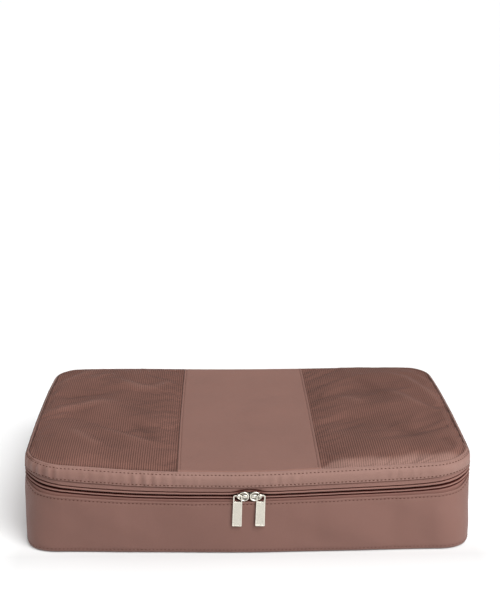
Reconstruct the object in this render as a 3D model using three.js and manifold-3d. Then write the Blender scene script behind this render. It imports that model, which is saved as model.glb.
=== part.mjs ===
// Zip-around packing cube: a soft rectangular travel organiser. A flat base tray and a lid with two
// mesh windows either side of a plain centre panel are joined by a back panel that folds as the
// hinge, and closed round the front and both sides by a coil zipper with two sliders that meet at
// the front.
//
// Millimetres, +Z up. Origin at the centre of the underside. The front, with the sliders, faces -Y.
// Fabric pieces have one nominal thickness, with a small gap where they are sewn together.
// They are drawn as a plain rounded box, and warp() then gives them the shape of a filled cube.
import * as THREE from "three";
import { mergeVertices } from "three/addons/utils/BufferGeometryUtils.js";
import Module from "manifold-3d";

const wasm = await Module();
wasm.setup();

// ---- driving dimensions ----
// A "depth" is measured inwards from the outer face of the walls.
const HALF_WIDTH = 225;
const HALF_DEPTH = 160; // before the front bulge
const CORNER_RADIUS = 42; // in plan
const CORNER_X = HALF_WIDTH - CORNER_RADIUS; // centres of the plan corners
const CORNER_Y = HALF_DEPTH - CORNER_RADIUS;
const CORNER_SEGMENTS = 6;
const FABRIC = 1.4; // thickness, with lining and seam allowance
const HINGE_HALF_WIDTH = 165; // of the back panel, up to the ends of the zipper

const FLOOR_THICKNESS = 1.5;
const FLOOR_DEPTH = 3.3; // inset of the bottom panel's edge
const FOOT_Z = 5.4; // the wall is upright on its inner face from here
const FOOT_TOP = 40; // the foot's squareness has faded out here
const WALL_TOP = 54.8; // folded top edge of the base wall

const CHAIN_Z = 61; // centreline of the zipper chain at the front centre
const CHAIN_GAP = 1.2; // half gap between the tapes, through which the slider's neck runs
const CHAIN_LOW = CHAIN_Z - CHAIN_GAP;
const CHAIN_HIGH = CHAIN_Z + CHAIN_GAP;
const HINGE_GAP = 0.6; // half gap between the two back panels, at the chain's height
const COIL_WIDTH = 2.6;
const TAPE_DEPTHS = [1.8, 2.6];
const COIL_DEPTHS = [2.9, 5.1];
const ZIPPER_BINDING_DEPTHS = [2.9, 3.9];
const BACK_BINDING_DEPTHS = [4.3, 5.3];
const BACK_BINDING_HALF_WIDTH = 6;

const BAND_LOW = 70.2; // folded lower edge of the lid band
const BAND_Z = 75.2; // the band starts to roll inwards here
const LID_TOP = 84.4; // outer face of the lid panels at the front centre
const LID_PANEL_DEPTH = 5.9; // inset of the lid panels' edge
const LID_BINDING_Z = [81.3, 82.5];
const SEAM_X = 71; // seams between centre panel and mesh windows
const SEAM_HALF_GAP = 0.2;
const SEAM_TAPE_HALF_WIDTH = 5;
const SEAM_TAPE_END_DEPTH = 13.6;

const SIDES = [["left", -1], ["right", 1]];

// ---- the shape a filled cube takes ----
const FRONT_BULGE = 5; // forward bow of the front wall at its centre
const BACK_OUT = 2.4; // the back stands this much wider on each side
const SIDE_OUT = 3.2; // outward bow of each side
// Shares by which heights grow, against the front centre
const FRONT_CORNER_RISE = 0.085;
const BACK_RISE = 0.085;
const SIDE_RISE = 0.02; // at mid side, over the line between front and back
const FOOT_OUT = 6; // the foot is squarer than the lid by this much on the corners' diagonal
const CORNER_LIFT = 7; // the zipper climbs where it rounds the front corners
const CORNER_LEAN = 2.5; // and leans inwards
const SIDE_CLIMB = 0.45; // share of lift and lean reached where the sides meet the front corners

const clampUnit = (value) => THREE.MathUtils.clamp(value, 0, 1);

// How much of the corner's lift and lean applies at a place in plan.
function cornerClimb(y, pastY, angle, diagonal) {
  if (pastY <= 0) return (SIDE_CLIMB * (CORNER_Y - y)) / (2 * CORNER_Y);
  if (y >= 0) return 0;
  return angle > Math.PI / 4 ? diagonal : SIDE_CLIMB + (1 - SIDE_CLIMB) * diagonal;
}

function warp(x, y, z) {
  const across = Math.min(Math.abs(x), CORNER_X) / CORNER_X; // 0 at the centre, 1 at the corners
  const forward = (HALF_DEPTH - y) / (2 * HALF_DEPTH); // 0 at the back, 1 at the front
  const midSide = 4 * forward * (1 - forward);
  const widening = BACK_OUT * (1 - forward) + SIDE_OUT * midSide;
  const rise = FRONT_CORNER_RISE * across * forward + BACK_RISE * (1 - forward)
    + SIDE_RISE * across * midSide;
  let warpedX = x * (1 + widening / HALF_WIDTH);
  let warpedY = y - FRONT_BULGE * (1 - across) * forward;
  let warpedZ = z * (1 + rise);

  const pastX = Math.abs(x) - CORNER_X;
  const pastY = Math.abs(y) - CORNER_Y;
  if (pastX > 0) {
    const angle = pastY > 0 ? Math.atan2(pastY, pastX) : 0;
    const diagonal = Math.sin(2 * angle) ** 2;
    // the climb grows from the foot up to the chain and fades out over the lid band
    const heightShare = z < CHAIN_HIGH
      ? clampUnit((z - FOOT_Z) / (CHAIN_LOW - FOOT_Z))
      : Math.max(0, (BAND_Z - z) / (BAND_Z - CHAIN_HIGH));
    const climb = cornerClimb(y, pastY, angle, diagonal) * heightShare;
    const footShare = clampUnit((FOOT_TOP - z) / (FOOT_TOP - FOOT_Z));
    const radius = Math.hypot(pastX, Math.max(pastY, 0));
    const out = (FOOT_OUT * diagonal * footShare * radius) / CORNER_RADIUS - CORNER_LEAN * climb;
    warpedX += Math.sign(x) * Math.cos(angle) * out;
    warpedY += Math.sign(y) * Math.sin(angle) * out;
    warpedZ += CORNER_LIFT * climb;
  }
  return [warpedX, warpedY, warpedZ];
}

function warped(geometry) {
  const points = geometry.getAttribute("position");
  for (let i = 0; i < points.count; i++) {
    points.setXYZ(i, ...warp(points.getX(i), points.getY(i), points.getZ(i)));
  }
  return geometry;
}

// ---- plan outline: stations on the outer face, with an inward normal (inX, inY) ----
function cornerArc(centreX, centreY, startDegrees) {
  const stations = [];
  for (let i = 0; i <= CORNER_SEGMENTS; i++) {
    const angle = THREE.MathUtils.degToRad(startDegrees + (90 * i) / CORNER_SEGMENTS);
    const outX = Math.cos(angle);
    const outY = Math.sin(angle);
    stations.push({
      x: centreX + CORNER_RADIUS * outX,
      y: centreY + CORNER_RADIUS * outY,
      inX: -outX,
      inY: -outY,
    });
  }
  return stations;
}

const backStation = (x) => ({ x, y: HALF_DEPTH, inX: 0, inY: -1 });
const sideYs = [-CORNER_Y / 2, 0, CORNER_Y / 2];
const frontRight = cornerArc(CORNER_X, -CORNER_Y, 270);
const backRight = cornerArc(CORNER_X, CORNER_Y, 0);
// from the back left corner, round the front, to the back right corner
const ringPath = [
  ...cornerArc(-CORNER_X, CORNER_Y, 90),
  ...[...sideYs].reverse().map((y) => ({ x: -HALF_WIDTH, y, inX: 1, inY: 0 })),
  ...cornerArc(-CORNER_X, -CORNER_Y, 180),
  { x: 0, y: -HALF_DEPTH, inX: 0, inY: 1 },
  ...frontRight,
  ...sideYs.map((y) => ({ x: HALF_WIDTH, y, inX: -1, inY: 0 })),
  ...backRight,
];
const zipperPath = [backStation(-HINGE_HALF_WIDTH), ...ringPath, backStation(HINGE_HALF_WIDTH)];
const backPanelEnd = HINGE_HALF_WIDTH - 0.4; // leaves a sewing gap
const backPath = [backStation(backPanelEnd), backStation(-backPanelEnd)];

// ---- geometry builders ----
// Turns an indexed geometry whose faces point inwards, found by its signed volume.
function outward(geometry) {
  const points = geometry.getAttribute("position");
  const index = geometry.getIndex().array;
  const corners = [new THREE.Vector3(), new THREE.Vector3(), new THREE.Vector3()];
  const [first, second, third] = corners;
  let volume = 0;
  for (let i = 0; i < index.length; i += 3) {
    corners.forEach((corner, k) => corner.fromBufferAttribute(points, index[i + k]));
    volume += first.dot(second.cross(third));
  }
  if (volume < 0) {
    for (let i = 0; i < index.length; i += 3) {
      [index[i + 1], index[i + 2]] = [index[i + 2], index[i + 1]];
    }
  }
  return geometry;
}

function indexedGeometry(position, index) {
  const geometry = new THREE.BufferGeometry();
  geometry.setAttribute("position", new THREE.Float32BufferAttribute(position, 3));
  geometry.setIndex(index);
  return geometry;
}

// Sweeps a section, points of (depth, height), along stations.
function sweep(outline, path, closed = false) {
  const toFlat = (points) => points.map(([depth, z]) => new THREE.Vector2(depth, z));
  const clockwise = THREE.ShapeUtils.area(toFlat(outline)) < 0;
  const section = clockwise ? [...outline].reverse() : outline;
  const size = section.length;
  const position = [];
  const index = [];
  for (const { x, y, inX, inY } of path) {
    for (const [depth, z] of section) position.push(x + inX * depth, y + inY * depth, z);
  }
  const spans = closed ? path.length : path.length - 1;
  for (let i = 0; i < spans; i++) {
    const here = i * size;
    const next = ((i + 1) % path.length) * size;
    for (let k = 0; k < size; k++) {
      const after = (k + 1) % size;
      index.push(here + k, here + after, next + after, here + k, next + after, next + k);
    }
  }
  if (!closed) {
    const last = (path.length - 1) * size;
    for (const [a, b, c] of THREE.ShapeUtils.triangulateShape(toFlat(section), [])) {
      index.push(a, c, b, last + a, last + b, last + c);
    }
  }
  return outward(indexedGeometry(position, index));
}

// An upright section between two depths, with a bend allowed at each height.
const strip = ([outer, inner], heights) => [
  ...heights.map((z) => [outer, z]),
  ...[...heights].reverse().map((z) => [inner, z]),
];

const polygon = (points) => new THREE.Shape(points.map(([x, y]) => new THREE.Vector2(x, y)));

// A plan outline extruded upwards.
function flatPanel(shape, [low, high]) {
  const geometry = new THREE.ExtrudeGeometry(shape, { depth: high - low, bevelEnabled: false });
  return geometry.translate(0, 0, low);
}

// A lid panel that bends with the band beside it: rows of points from front to back, each given
// as { y, xs }, with its rim at the last x. Neighbouring rows may differ by one point.
function lidPanel(rows) {
  const position = [];
  for (const z of [LID_TOP - FABRIC, LID_TOP]) {
    for (const { y, xs } of rows) for (const x of xs) position.push(x, y, z);
  }
  const upper = position.length / 6; // index of the upper face's first point
  const starts = [];
  let count = 0;
  for (const { xs } of rows) {
    starts.push(count);
    count += xs.length;
  }

  const index = [];
  const addFace = (a, b, c) => index.push(a, b, c, upper + a, upper + c, upper + b);
  for (let r = 0; r < rows.length - 1; r++) {
    const here = starts[r];
    const next = starts[r + 1];
    const hereCount = rows[r].xs.length;
    const nextCount = rows[r + 1].xs.length;
    for (let k = 0; k < Math.min(hereCount, nextCount) - 1; k++) {
      addFace(here + k, next + k, here + k + 1);
      addFace(here + k + 1, next + k, next + k + 1);
    }
    const hereEnd = here + hereCount - 1;
    const nextEnd = next + nextCount - 1;
    if (hereCount > nextCount) addFace(hereEnd - 1, nextEnd, hereEnd);
    if (nextCount > hereCount) addFace(hereEnd, nextEnd - 1, nextEnd);
  }

  const lastRow = rows.length - 1;
  const rim = rows.map(({ xs }, r) => starts[r] + xs.length - 1);
  for (let k = rows[lastRow].xs.length - 2; k >= 0; k--) rim.push(starts[lastRow] + k);
  for (let r = lastRow - 1; r >= 0; r--) rim.push(starts[r]);
  for (let k = 1; k < rows[0].xs.length - 1; k++) rim.push(k);
  rim.forEach((a, k) => {
    const b = rim[(k + 1) % rim.length];
    index.push(a, b, upper + b, a, upper + b, upper + a);
  });
  return outward(indexedGeometry(position, index));
}

// Each argument is a pair of opposite limits, in either order.
function box(...limits) {
  const sizes = limits.map(([from, to]) => Math.abs(to - from));
  const centres = limits.map(([from, to]) => (from + to) / 2);
  return new THREE.BoxGeometry(...sizes).translate(...centres);
}

function solid(geometry) {
  geometry.deleteAttribute("normal");
  geometry.deleteAttribute("uv");
  const merged = mergeVertices(geometry, 1e-4);
  return new wasm.Manifold(new wasm.Mesh({
    numProp: 3,
    vertProperties: new Float32Array(merged.getAttribute("position").array),
    triVerts: new Uint32Array(merged.getIndex().array),
  }));
}

function geometryOf(manifold) {
  const { vertProperties, triVerts } = manifold.getMesh();
  const geometry = new THREE.BufferGeometry();
  geometry.setAttribute("position", new THREE.BufferAttribute(new Float32Array(vertProperties), 3));
  geometry.setIndex(new THREE.BufferAttribute(new Uint32Array(triVerts), 1));
  return geometry;
}

// ---- materials ----
const nylon = new THREE.MeshStandardMaterial({ color: 0x8f6e65, roughness: 0.62 });
const meshCloth = new THREE.MeshStandardMaterial({ color: 0x78574e, roughness: 0.75 });
const tapeCloth = new THREE.MeshStandardMaterial({ color: 0x866359, roughness: 0.7 });
const coilPlastic = new THREE.MeshStandardMaterial({ color: 0x5a3a32, roughness: 0.45 });
const bindingCloth = new THREE.MeshStandardMaterial({ color: 0x7a584f, roughness: 0.7 });
const nickel = new THREE.MeshStandardMaterial({ color: 0xd9d3c6, roughness: 0.3, metalness: 1 });

const cube = new THREE.Group();

function add(name, geometry, material, parent = cube) {
  const mesh = new THREE.Mesh(geometry, material);
  mesh.name = name;
  parent.add(mesh);
}
const addWarped = (name, geometry, material) => add(name, warped(geometry), material);

// ---- pieces that the base and the lid share ----
function addZipperHalf(half, { tapeZ, coilZ, bindingZ }) {
  const addStrip = (part, depths, heights, material) =>
    addWarped(`zipper_${part}_${half}`, sweep(strip(depths, heights), zipperPath), material);
  addStrip("tape", TAPE_DEPTHS, tapeZ, tapeCloth);
  addStrip("coil", COIL_DEPTHS, coilZ, coilPlastic);
  addStrip("binding", ZIPPER_BINDING_DEPTHS, bindingZ, bindingCloth);
}

// An upright binding inside an end of the back panel.
function addBackBinding(name, sign, heights) {
  const x = sign * HINGE_HALF_WIDTH;
  const xs = [x - BACK_BINDING_HALF_WIDTH, x + BACK_BINDING_HALF_WIDTH];
  const ys = BACK_BINDING_DEPTHS.map((depth) => HALF_DEPTH - depth);
  addWarped(name, box(xs, ys, heights), bindingCloth);
}

// ---- base tray ----
function addBase() {
  const floorEdge = ringPath.map(({ x, y, inX, inY }) =>
    warp(x + inX * FLOOR_DEPTH, y + inY * FLOOR_DEPTH, 0));
  add("bottom_panel", flatPanel(polygon(floorEdge), [0, FLOOR_THICKNESS]), nylon);

  // The wall turns in under the tray at its foot, beside the bottom panel: (depth, height).
  const footOuter = [[3.0, 0], [0.9, 1.6], [0, 5]];
  const footInner = [[FABRIC, FOOT_Z], [2.1, 3.0], [3.0, 1.5]];
  const wallSection = (heights) => [...footOuter, ...strip([0, FABRIC], heights), ...footInner];
  addWarped("base_wall", sweep(wallSection([22, FOOT_TOP, 47.4, WALL_TOP]), zipperPath), nylon);
  addWarped("back_panel_lower", sweep(wallSection([CHAIN_Z - HINGE_GAP]), backPath), nylon);
  const seamBinding = sweep(strip([3.4, 9.4], [1.9, 3.0]), ringPath, true);
  addWarped("bottom_seam_binding", seamBinding, bindingCloth);
  addZipperHalf("lower", {
    tapeZ: [42.8, 50, CHAIN_LOW],
    coilZ: [CHAIN_LOW - COIL_WIDTH, CHAIN_LOW],
    bindingZ: [42.6, 50],
  });
  for (const [side, sign] of SIDES) addBackBinding("back_seam_binding_" + side, sign, [3.6, 56]);
}

// ---- lid ----
const lidEndY = HALF_DEPTH - LID_PANEL_DEPTH;

function meshWindow(sign) {
  const depth = LID_PANEL_DEPTH;
  const seam = sign * (SEAM_X + SEAM_HALF_GAP);
  const rowYs = [
    ...frontRight.map(({ y, inY }) => y + inY * depth),
    ...sideYs,
    ...backRight.map(({ y, inY }) => y + inY * depth),
  ];
  return lidPanel(rowYs.map((y) => {
    const xs = [seam, sign * CORNER_X];
    if (Math.abs(y) <= lidEndY - 0.01) {
      const pastY = Math.max(0, Math.abs(y) - CORNER_Y);
      const reach = Math.sqrt(Math.max(0, (CORNER_RADIUS - depth) ** 2 - pastY ** 2));
      xs.push(sign * (CORNER_X + reach));
    }
    return { y, xs };
  }));
}

function meshSeamTape(sign) {
  const left = sign * SEAM_X - SEAM_TAPE_HALF_WIDTH;
  const right = sign * SEAM_X + SEAM_TAPE_HALF_WIDTH;
  const end = HALF_DEPTH - SEAM_TAPE_END_DEPTH;
  const outline = polygon([[left, -end], [right, -end], [right, end], [left, end]]);
  return flatPanel(outline, LID_BINDING_Z);
}

function addLid() {
  // The band rises and rolls inwards to the edge of the lid panels: (depth, height).
  const bandSection = (low) => [
    [0, low], [0, 75.6], [1.5, 79.8], [5.6, 84.0], // outer face
    [5.6, 82.0], [2.75, 79.1], [FABRIC, BAND_Z], [FABRIC, low], // inner face
  ];
  addWarped("lid_band", sweep(bandSection(BAND_LOW), zipperPath), nylon);
  addWarped("back_panel_upper", sweep(bandSection(CHAIN_Z + HINGE_GAP), backPath), nylon);

  const centreHalf = SEAM_X - SEAM_HALF_GAP;
  const centreRows = [-lidEndY, -CORNER_Y, ...sideYs, CORNER_Y, lidEndY]
    .map((y) => ({ y, xs: [-centreHalf, 0, centreHalf] }));
  addWarped("lid_centre_panel", lidPanel(centreRows), nylon);
  for (const [side, sign] of SIDES) {
    addWarped("lid_mesh_window_" + side, meshWindow(sign), meshCloth);
    addWarped("mesh_seam_tape_" + side, meshSeamTape(sign), bindingCloth);
    addBackBinding("lid_corner_binding_" + side, sign, [66, 79.6]);
  }
  const seamBinding = sweep(strip([6.4, 13], LID_BINDING_Z), ringPath, true);
  addWarped("lid_seam_binding", seamBinding, bindingCloth);
  addZipperHalf("upper", {
    tapeZ: [CHAIN_HIGH, 67.4, 71, 74.6],
    coilZ: [CHAIN_HIGH, CHAIN_HIGH + COIL_WIDTH],
    bindingZ: [67.4, 74.4],
  });
}

// ---- sliders and pulls ----
// Local axes: x along the chain to the right, y into the cube from the wall's outer face, z up
// across the chain. A sign of -1 mirrors a slider in x, so that its nose faces the front's middle.
const SLIDER_X = 6.4; // slider centre from the middle of the front
const SLIDER_HALF = 6.1; // half length
const NOSE_HALF = 5.2; // half heights of the outer wing
const TAIL_HALF = 4.1;
const BRIDGE_X = 4.2; // bridge centre, outwards from the slider's centre
const BRIDGE_HALF = 1.25; // half width along the chain
const BRIDGE_FOOT = 1.95; // half span across the chain
const BRIDGE_STRAP = 0.8; // strap thickness
const BRIDGE_TOP = 3.3;
const BRIDGE_ROUND = 1.5;
const BRIDGE_LOW = -0.6; // the feet are sunk into the outer wing
const PULL_X = 11.4; // pull bar from the middle of the front
const PULL_Z = 1.5; // and above the chain
const PULL_Y = -1.15; // the pull's mid plane, in front of the wall
const PULL_TILT = 3.0; // degrees
const PULL_THICKNESS = 1.4;

// A shape drawn in x and z, given thickness in y.
function plate(shape, [front, back], bevel = 0) {
  const geometry = new THREE.ExtrudeGeometry(shape, {
    depth: back - front - 2 * bevel,
    bevelEnabled: bevel > 0,
    bevelThickness: bevel,
    bevelSize: bevel,
    bevelOffset: -bevel,
    bevelSegments: 1,
    curveSegments: 5,
  });
  // the quarter turn takes (x, y, z) to (x, -z, y)
  return geometry.translate(0, 0, bevel).rotateX(Math.PI / 2).translate(0, back, 0);
}

function wingOutline(sign, half, nose, tail) {
  const end = sign * half;
  const endRound = sign * (half - 1);
  const noseX = -end * 0.25;
  const shape = new THREE.Shape();
  shape.moveTo(-end, 0);
  shape.bezierCurveTo(-end, nose * 0.75, -end * 0.62, nose, noseX, nose);
  shape.bezierCurveTo(end * 0.2, nose, end * 0.35, tail, endRound, tail);
  shape.quadraticCurveTo(end, tail, end, tail - 1);
  shape.lineTo(end, -(tail - 1));
  shape.quadraticCurveTo(end, -tail, endRound, -tail);
  shape.bezierCurveTo(end * 0.35, -tail, end * 0.2, -nose, noseX, -nose);
  shape.bezierCurveTo(-end * 0.62, -nose, -end, -nose * 0.75, -end, 0);
  return shape;
}

// The arch on the outer wing that holds the pull's bar, drawn as z across and height upwards.
function bridge(sign) {
  const foot = BRIDGE_FOOT;
  const top = BRIDGE_TOP;
  const shoulder = top - BRIDGE_ROUND;
  const inner = foot - BRIDGE_STRAP;
  const innerTop = top - BRIDGE_STRAP;
  const chamfer = 0.5;
  const arch = new THREE.Shape();
  arch.moveTo(-foot, BRIDGE_LOW);
  arch.lineTo(-foot, shoulder);
  arch.quadraticCurveTo(-foot, top, -foot + BRIDGE_ROUND, top);
  arch.lineTo(foot - BRIDGE_ROUND, top);
  arch.quadraticCurveTo(foot, top, foot, shoulder);
  arch.lineTo(foot, BRIDGE_LOW);
  arch.lineTo(inner, BRIDGE_LOW);
  arch.lineTo(inner, innerTop - chamfer);
  arch.lineTo(inner - chamfer, innerTop);
  arch.lineTo(-inner + chamfer, innerTop);
  arch.lineTo(-inner, innerTop - chamfer);
  arch.lineTo(-inner, BRIDGE_LOW);
  const geometry = new THREE.ExtrudeGeometry(arch, {
    depth: 2 * BRIDGE_HALF,
    bevelEnabled: false,
    curveSegments: 4,
  });
  geometry.translate(PULL_Z, 0, -BRIDGE_HALF);
  geometry.applyMatrix4(new THREE.Matrix4().makeBasis(
    new THREE.Vector3(0, 0, 1),
    new THREE.Vector3(0, -1, 0),
    new THREE.Vector3(1, 0, 0),
  ));
  return geometry.translate(sign * BRIDGE_X, 0.15, 0);
}

// Outer wing, inner wing with its two flanges, the neck that parts the coils, and the bridge.
function sliderBody(sign) {
  const outerWing = wingOutline(sign, SLIDER_HALF, NOSE_HALF, TAIL_HALF);
  const innerWing = wingOutline(sign, SLIDER_HALF - 0.2, NOSE_HALF - 0.1, NOSE_HALF - 0.9);
  const neck = polygon([
    [-5.4, 0], [-4.4, 0.85], [-2.2, 0.85], [-1.2, 0], [-2.2, -0.85], [-4.4, -0.85],
  ].map(([x, z]) => [sign * x, z]));
  const parts = [
    plate(outerWing, [0.15, 1.45], 0.25),
    plate(innerWing, [5.45, 6.55], 0.2),
    plate(neck, [1.2, 5.8]),
    ...[-1, 1].map((up) => box([sign * -2.6, sign * 2.2], [3.2, 5.7], [up * 4.25, up * 4.95])),
    bridge(sign),
  ];
  return geometryOf(parts.map(solid).reduce((body, part) => body.add(part)));
}

// A bar at the origin and a loop that runs through the bridge, with a flat tab below.
function pullTab() {
  const barHalf = 0.65;
  const topHalf = 4.5; // half widths of the tab
  const lowHalf = 5.0;
  const low = -32; // the tab's lower end
  const eyeLow = -6.2; // the top of the tab proper
  const round = 1.5;
  const chamfer = 0.4;
  const tab = new THREE.Shape();
  tab.moveTo(-topHalf + round, barHalf);
  tab.lineTo(topHalf - round, barHalf);
  tab.quadraticCurveTo(topHalf, barHalf, topHalf, barHalf - round);
  tab.lineTo(topHalf, eyeLow);
  tab.lineTo(lowHalf, low + chamfer);
  tab.lineTo(lowHalf - chamfer, low);
  tab.lineTo(-lowHalf + chamfer, low);
  tab.lineTo(-lowHalf, low + chamfer);
  tab.lineTo(-topHalf, eyeLow);
  tab.lineTo(-topHalf, barHalf - round);
  tab.quadraticCurveTo(-topHalf, barHalf, -topHalf + round, barHalf);

  const eyeHalf = topHalf - 1.3;
  const eyeTopHalf = topHalf - 1.8;
  tab.holes.push(polygon([
    [-eyeHalf, -barHalf - 0.4], [-eyeHalf, eyeLow], [eyeHalf, eyeLow],
    [eyeHalf, -barHalf - 0.4], [eyeTopHalf, -barHalf], [-eyeTopHalf, -barHalf],
  ]));
  return plate(tab, [-PULL_THICKNESS / 2, PULL_THICKNESS / 2], 0.3);
}

// The slider's frame follows the chain from the middle of the front to the corner.
function sliderFrame(sign) {
  const chainPoint = (x) => new THREE.Vector3(...warp(x, -HALF_DEPTH, CHAIN_Z));
  const along = chainPoint(sign * CORNER_X).sub(chainPoint(0)).multiplyScalar(sign).normalize();
  const inwards = new THREE.Vector3(0, 0, 1).cross(along).normalize();
  const up = along.clone().cross(inwards).normalize();
  return new THREE.Matrix4().makeBasis(along, inwards, up).setPosition(chainPoint(sign * SLIDER_X));
}

function addSlider(side, sign) {
  const slider = new THREE.Group();
  slider.applyMatrix4(sliderFrame(sign));
  cube.add(slider);
  add("slider_" + side, sliderBody(sign), nickel, slider);

  const pull = new THREE.Group();
  pull.position.set(sign * (PULL_X - SLIDER_X), PULL_Y, PULL_Z);
  pull.rotation.x = THREE.MathUtils.degToRad(-PULL_TILT);
  slider.add(pull);
  add("pull_" + side, pullTab(), nickel, pull);
}

addBase();
addLid();
for (const [side, sign] of SIDES) addSlider(side, sign);

export default cube;
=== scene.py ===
"""A filled packing cube: nylon walls, a zipper round the front and sides, and a lid with a
nylon panel between two mesh windows.

x runs from left to right, the front faces -y, z is up and the cube stands on z = 0. The
lid hinges along the back wall at the zipper's height. Pieces are drawn flat-sided in mm,
bent by warp() into the filled shape, and scaled to metres as each mesh is made. Materials,
lights and the camera are in metres.
"""
import math
from math import cos, pi, radians, sin

import bmesh
import bpy
import numpy as np
from mathutils import Matrix, Vector


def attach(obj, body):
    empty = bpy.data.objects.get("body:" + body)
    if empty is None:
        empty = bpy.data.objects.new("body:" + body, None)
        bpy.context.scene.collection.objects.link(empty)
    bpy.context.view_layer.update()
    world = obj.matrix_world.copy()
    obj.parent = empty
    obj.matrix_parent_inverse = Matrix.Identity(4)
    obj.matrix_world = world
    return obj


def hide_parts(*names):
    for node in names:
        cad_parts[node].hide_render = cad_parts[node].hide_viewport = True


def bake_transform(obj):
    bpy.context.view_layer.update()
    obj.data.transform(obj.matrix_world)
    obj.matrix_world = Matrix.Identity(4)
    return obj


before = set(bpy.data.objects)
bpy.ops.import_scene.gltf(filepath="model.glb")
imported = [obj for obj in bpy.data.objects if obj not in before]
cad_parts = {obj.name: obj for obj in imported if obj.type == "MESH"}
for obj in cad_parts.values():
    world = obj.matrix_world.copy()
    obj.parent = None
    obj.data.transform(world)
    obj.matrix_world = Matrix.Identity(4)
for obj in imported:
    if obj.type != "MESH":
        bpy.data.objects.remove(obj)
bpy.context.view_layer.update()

SCENE = bpy.context.scene
MM = 0.001
SIDES = (("left", -1), ("right", 1))

# ---------------------------------------------------------------- sizes, in mm
HALF_X, HALF_Y, CORNER = 225.0, 160.0, 42.0  # half width, half depth, corner radius in plan
CORNER_X, CORNER_Y = HALF_X - CORNER, HALF_Y - CORNER  # centres of the corner arcs
HALF_ARC = pi / 4 * CORNER  # half of a corner's arc length
ZIP_Z = 61.0
ZIP_END_X = 165.0  # where the zipper ends on the back
BULGE, RISE = 5.0, 0.085  # how far the front bows at mid width, and how much its ends rise
SEAM_X = 71.0  # seams between the lid's centre panel and its windows
LID_Z = 84.4
STITCH_FOOT, STITCH_WALL, STITCH_BAND = 3.7, 52.3, 71.9  # heights of the stitch rows
LID_ROW = (2.5, 82.55)  # depth and height of the stitch row round the lid's edge
LID_ROW_OUT = (-0.66, 0.75)  # the way out of the cloth there

# How far the front's edges are raised (z) at each place across it (x).
SAG_X = (-243, -186, -160, -138, -119, -99, -69, -40, 0, 40, 70, 100, 130, 150, 170, 186, 243)
SAG_Z = (0.6, -0.1, -0.3, -0.6, -0.9, -0.8, -0.4, 0.2, 0.6, 1.1, 1.4, 1.4, 1.1, 0.8, 0.5, 0.4, 0.6)


def smooth(start, end, x):
    """A soft step from 0 at start to 1 at end."""
    t = np.clip((x - start) / (end - start), 0, 1)
    return t * t * (3 - 2 * t)


def bell(x, width):
    return np.exp(-(x / width) ** 2)


def unit(vectors):
    return vectors / np.linalg.norm(vectors, axis=-1, keepdims=True)


def signed_power(value, power):
    return np.abs(value) ** power * np.sign(value)


def warp(x, y, z):
    """Points of the filled cube, stacked on the last axis: walls bow, the edges sag at mid
    width and the zipper climbs at the front corners."""
    abs_x = np.abs(x)
    across = np.clip(abs_x / HALF_X, 0, 1)
    side = 1 - np.clip(1 - across * across, 0, 1) ** 1.5
    front = (HALF_Y - y) / (2 * HALF_Y)  # 0 at the back, 1 at the front
    middle = 4 * front * (1 - front)
    # the height grows towards the sides, more so at the front
    stretch = 1 + 0.108 * side * front + (0.05 + 0.034 * side) * (1 - front) + 0.012 * side * middle

    # the front's bow: a rounded peak at mid width
    ratio = abs_x / CORNER_X
    blunt = 0.12
    peak = (np.sqrt(ratio * ratio + blunt * blunt) - blunt) / (math.sqrt(1 + blunt * blunt) - blunt)
    bow = np.clip(1 - peak, 0, 1)

    # the corners push out, at the foot and up the back
    past_x, past_y = abs_x - CORNER_X, np.abs(y) - CORNER_Y
    over_x, over_y = np.maximum(past_x, 0), np.maximum(past_y, 0)
    turn = np.where((past_x > 0) & (past_y > 0), np.arctan2(over_y, np.maximum(past_x, 1e-6)), 0)
    out = np.sin(2 * turn) ** 2 * np.hypot(over_x, over_y) / CORNER
    foot = np.clip(1 - z / 44.0, 0, 1) ** 1.6
    out = out * (5.0 * foot + np.where(y > 0, 3.4, 0.0) * np.clip(z / 60.0, 0, 1))

    # the climb at the front corners fades faster along the front than along the sides
    front_fade, side_fade = 35.0, 52.0
    on_arc = bell((turn - pi / 4) * CORNER, np.where(turn > pi / 4, front_fade, side_fade))
    on_side = bell(np.maximum(-past_y, 0) + HALF_ARC, side_fade)
    on_front = bell(np.maximum(-past_x, 0) + HALF_ARC, front_fade)
    near = np.where(past_x <= 0, on_front, np.where(past_y > 0, on_arc, on_side))
    near = np.where(y < 0, near, bell(CORNER_Y + HALF_ARC, side_fade))
    near = np.where((past_x <= 0) & (past_y <= 0), 0, near)
    below = np.clip((z - 5.4) / 54.4, 0, 1) ** 1.4
    above = np.clip((76.0 - z) / 13.8, 0, 1)
    climb = 7.0 * near * np.where(z < 62.2, below, above * above * (3 - 2 * above))

    sag = np.interp(x, SAG_X, SAG_Z) * smooth(-30, -130, y) * smooth(14, 50, z)
    # the lid's back corners slump
    slump = smooth(110, 225, abs_x) * smooth(60, 155, y) * smooth(60, 84, z)
    widen = 1 + (1.9 * (1 - front) + 3.0 * middle) / HALF_X
    return np.stack(np.broadcast_arrays(
        x * widen + np.sign(x) * np.cos(turn) * out,
        y - BULGE * bow * front + np.sign(y) * np.sin(turn) * out,
        z * stretch + climb + sag - np.where(x < 0, 1.9, 1.3) * slump,
    ), -1)


def cad_warp(x, y, z):
    """The simpler bend of the CAD pieces, on which the sliders sit."""
    side = min(abs(x), CORNER_X) / CORNER_X
    front = (HALF_Y - y) / (2 * HALF_Y)
    return Vector((x, y - BULGE * (1 - side) * front, z * (1 + RISE * side * front)))


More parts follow.
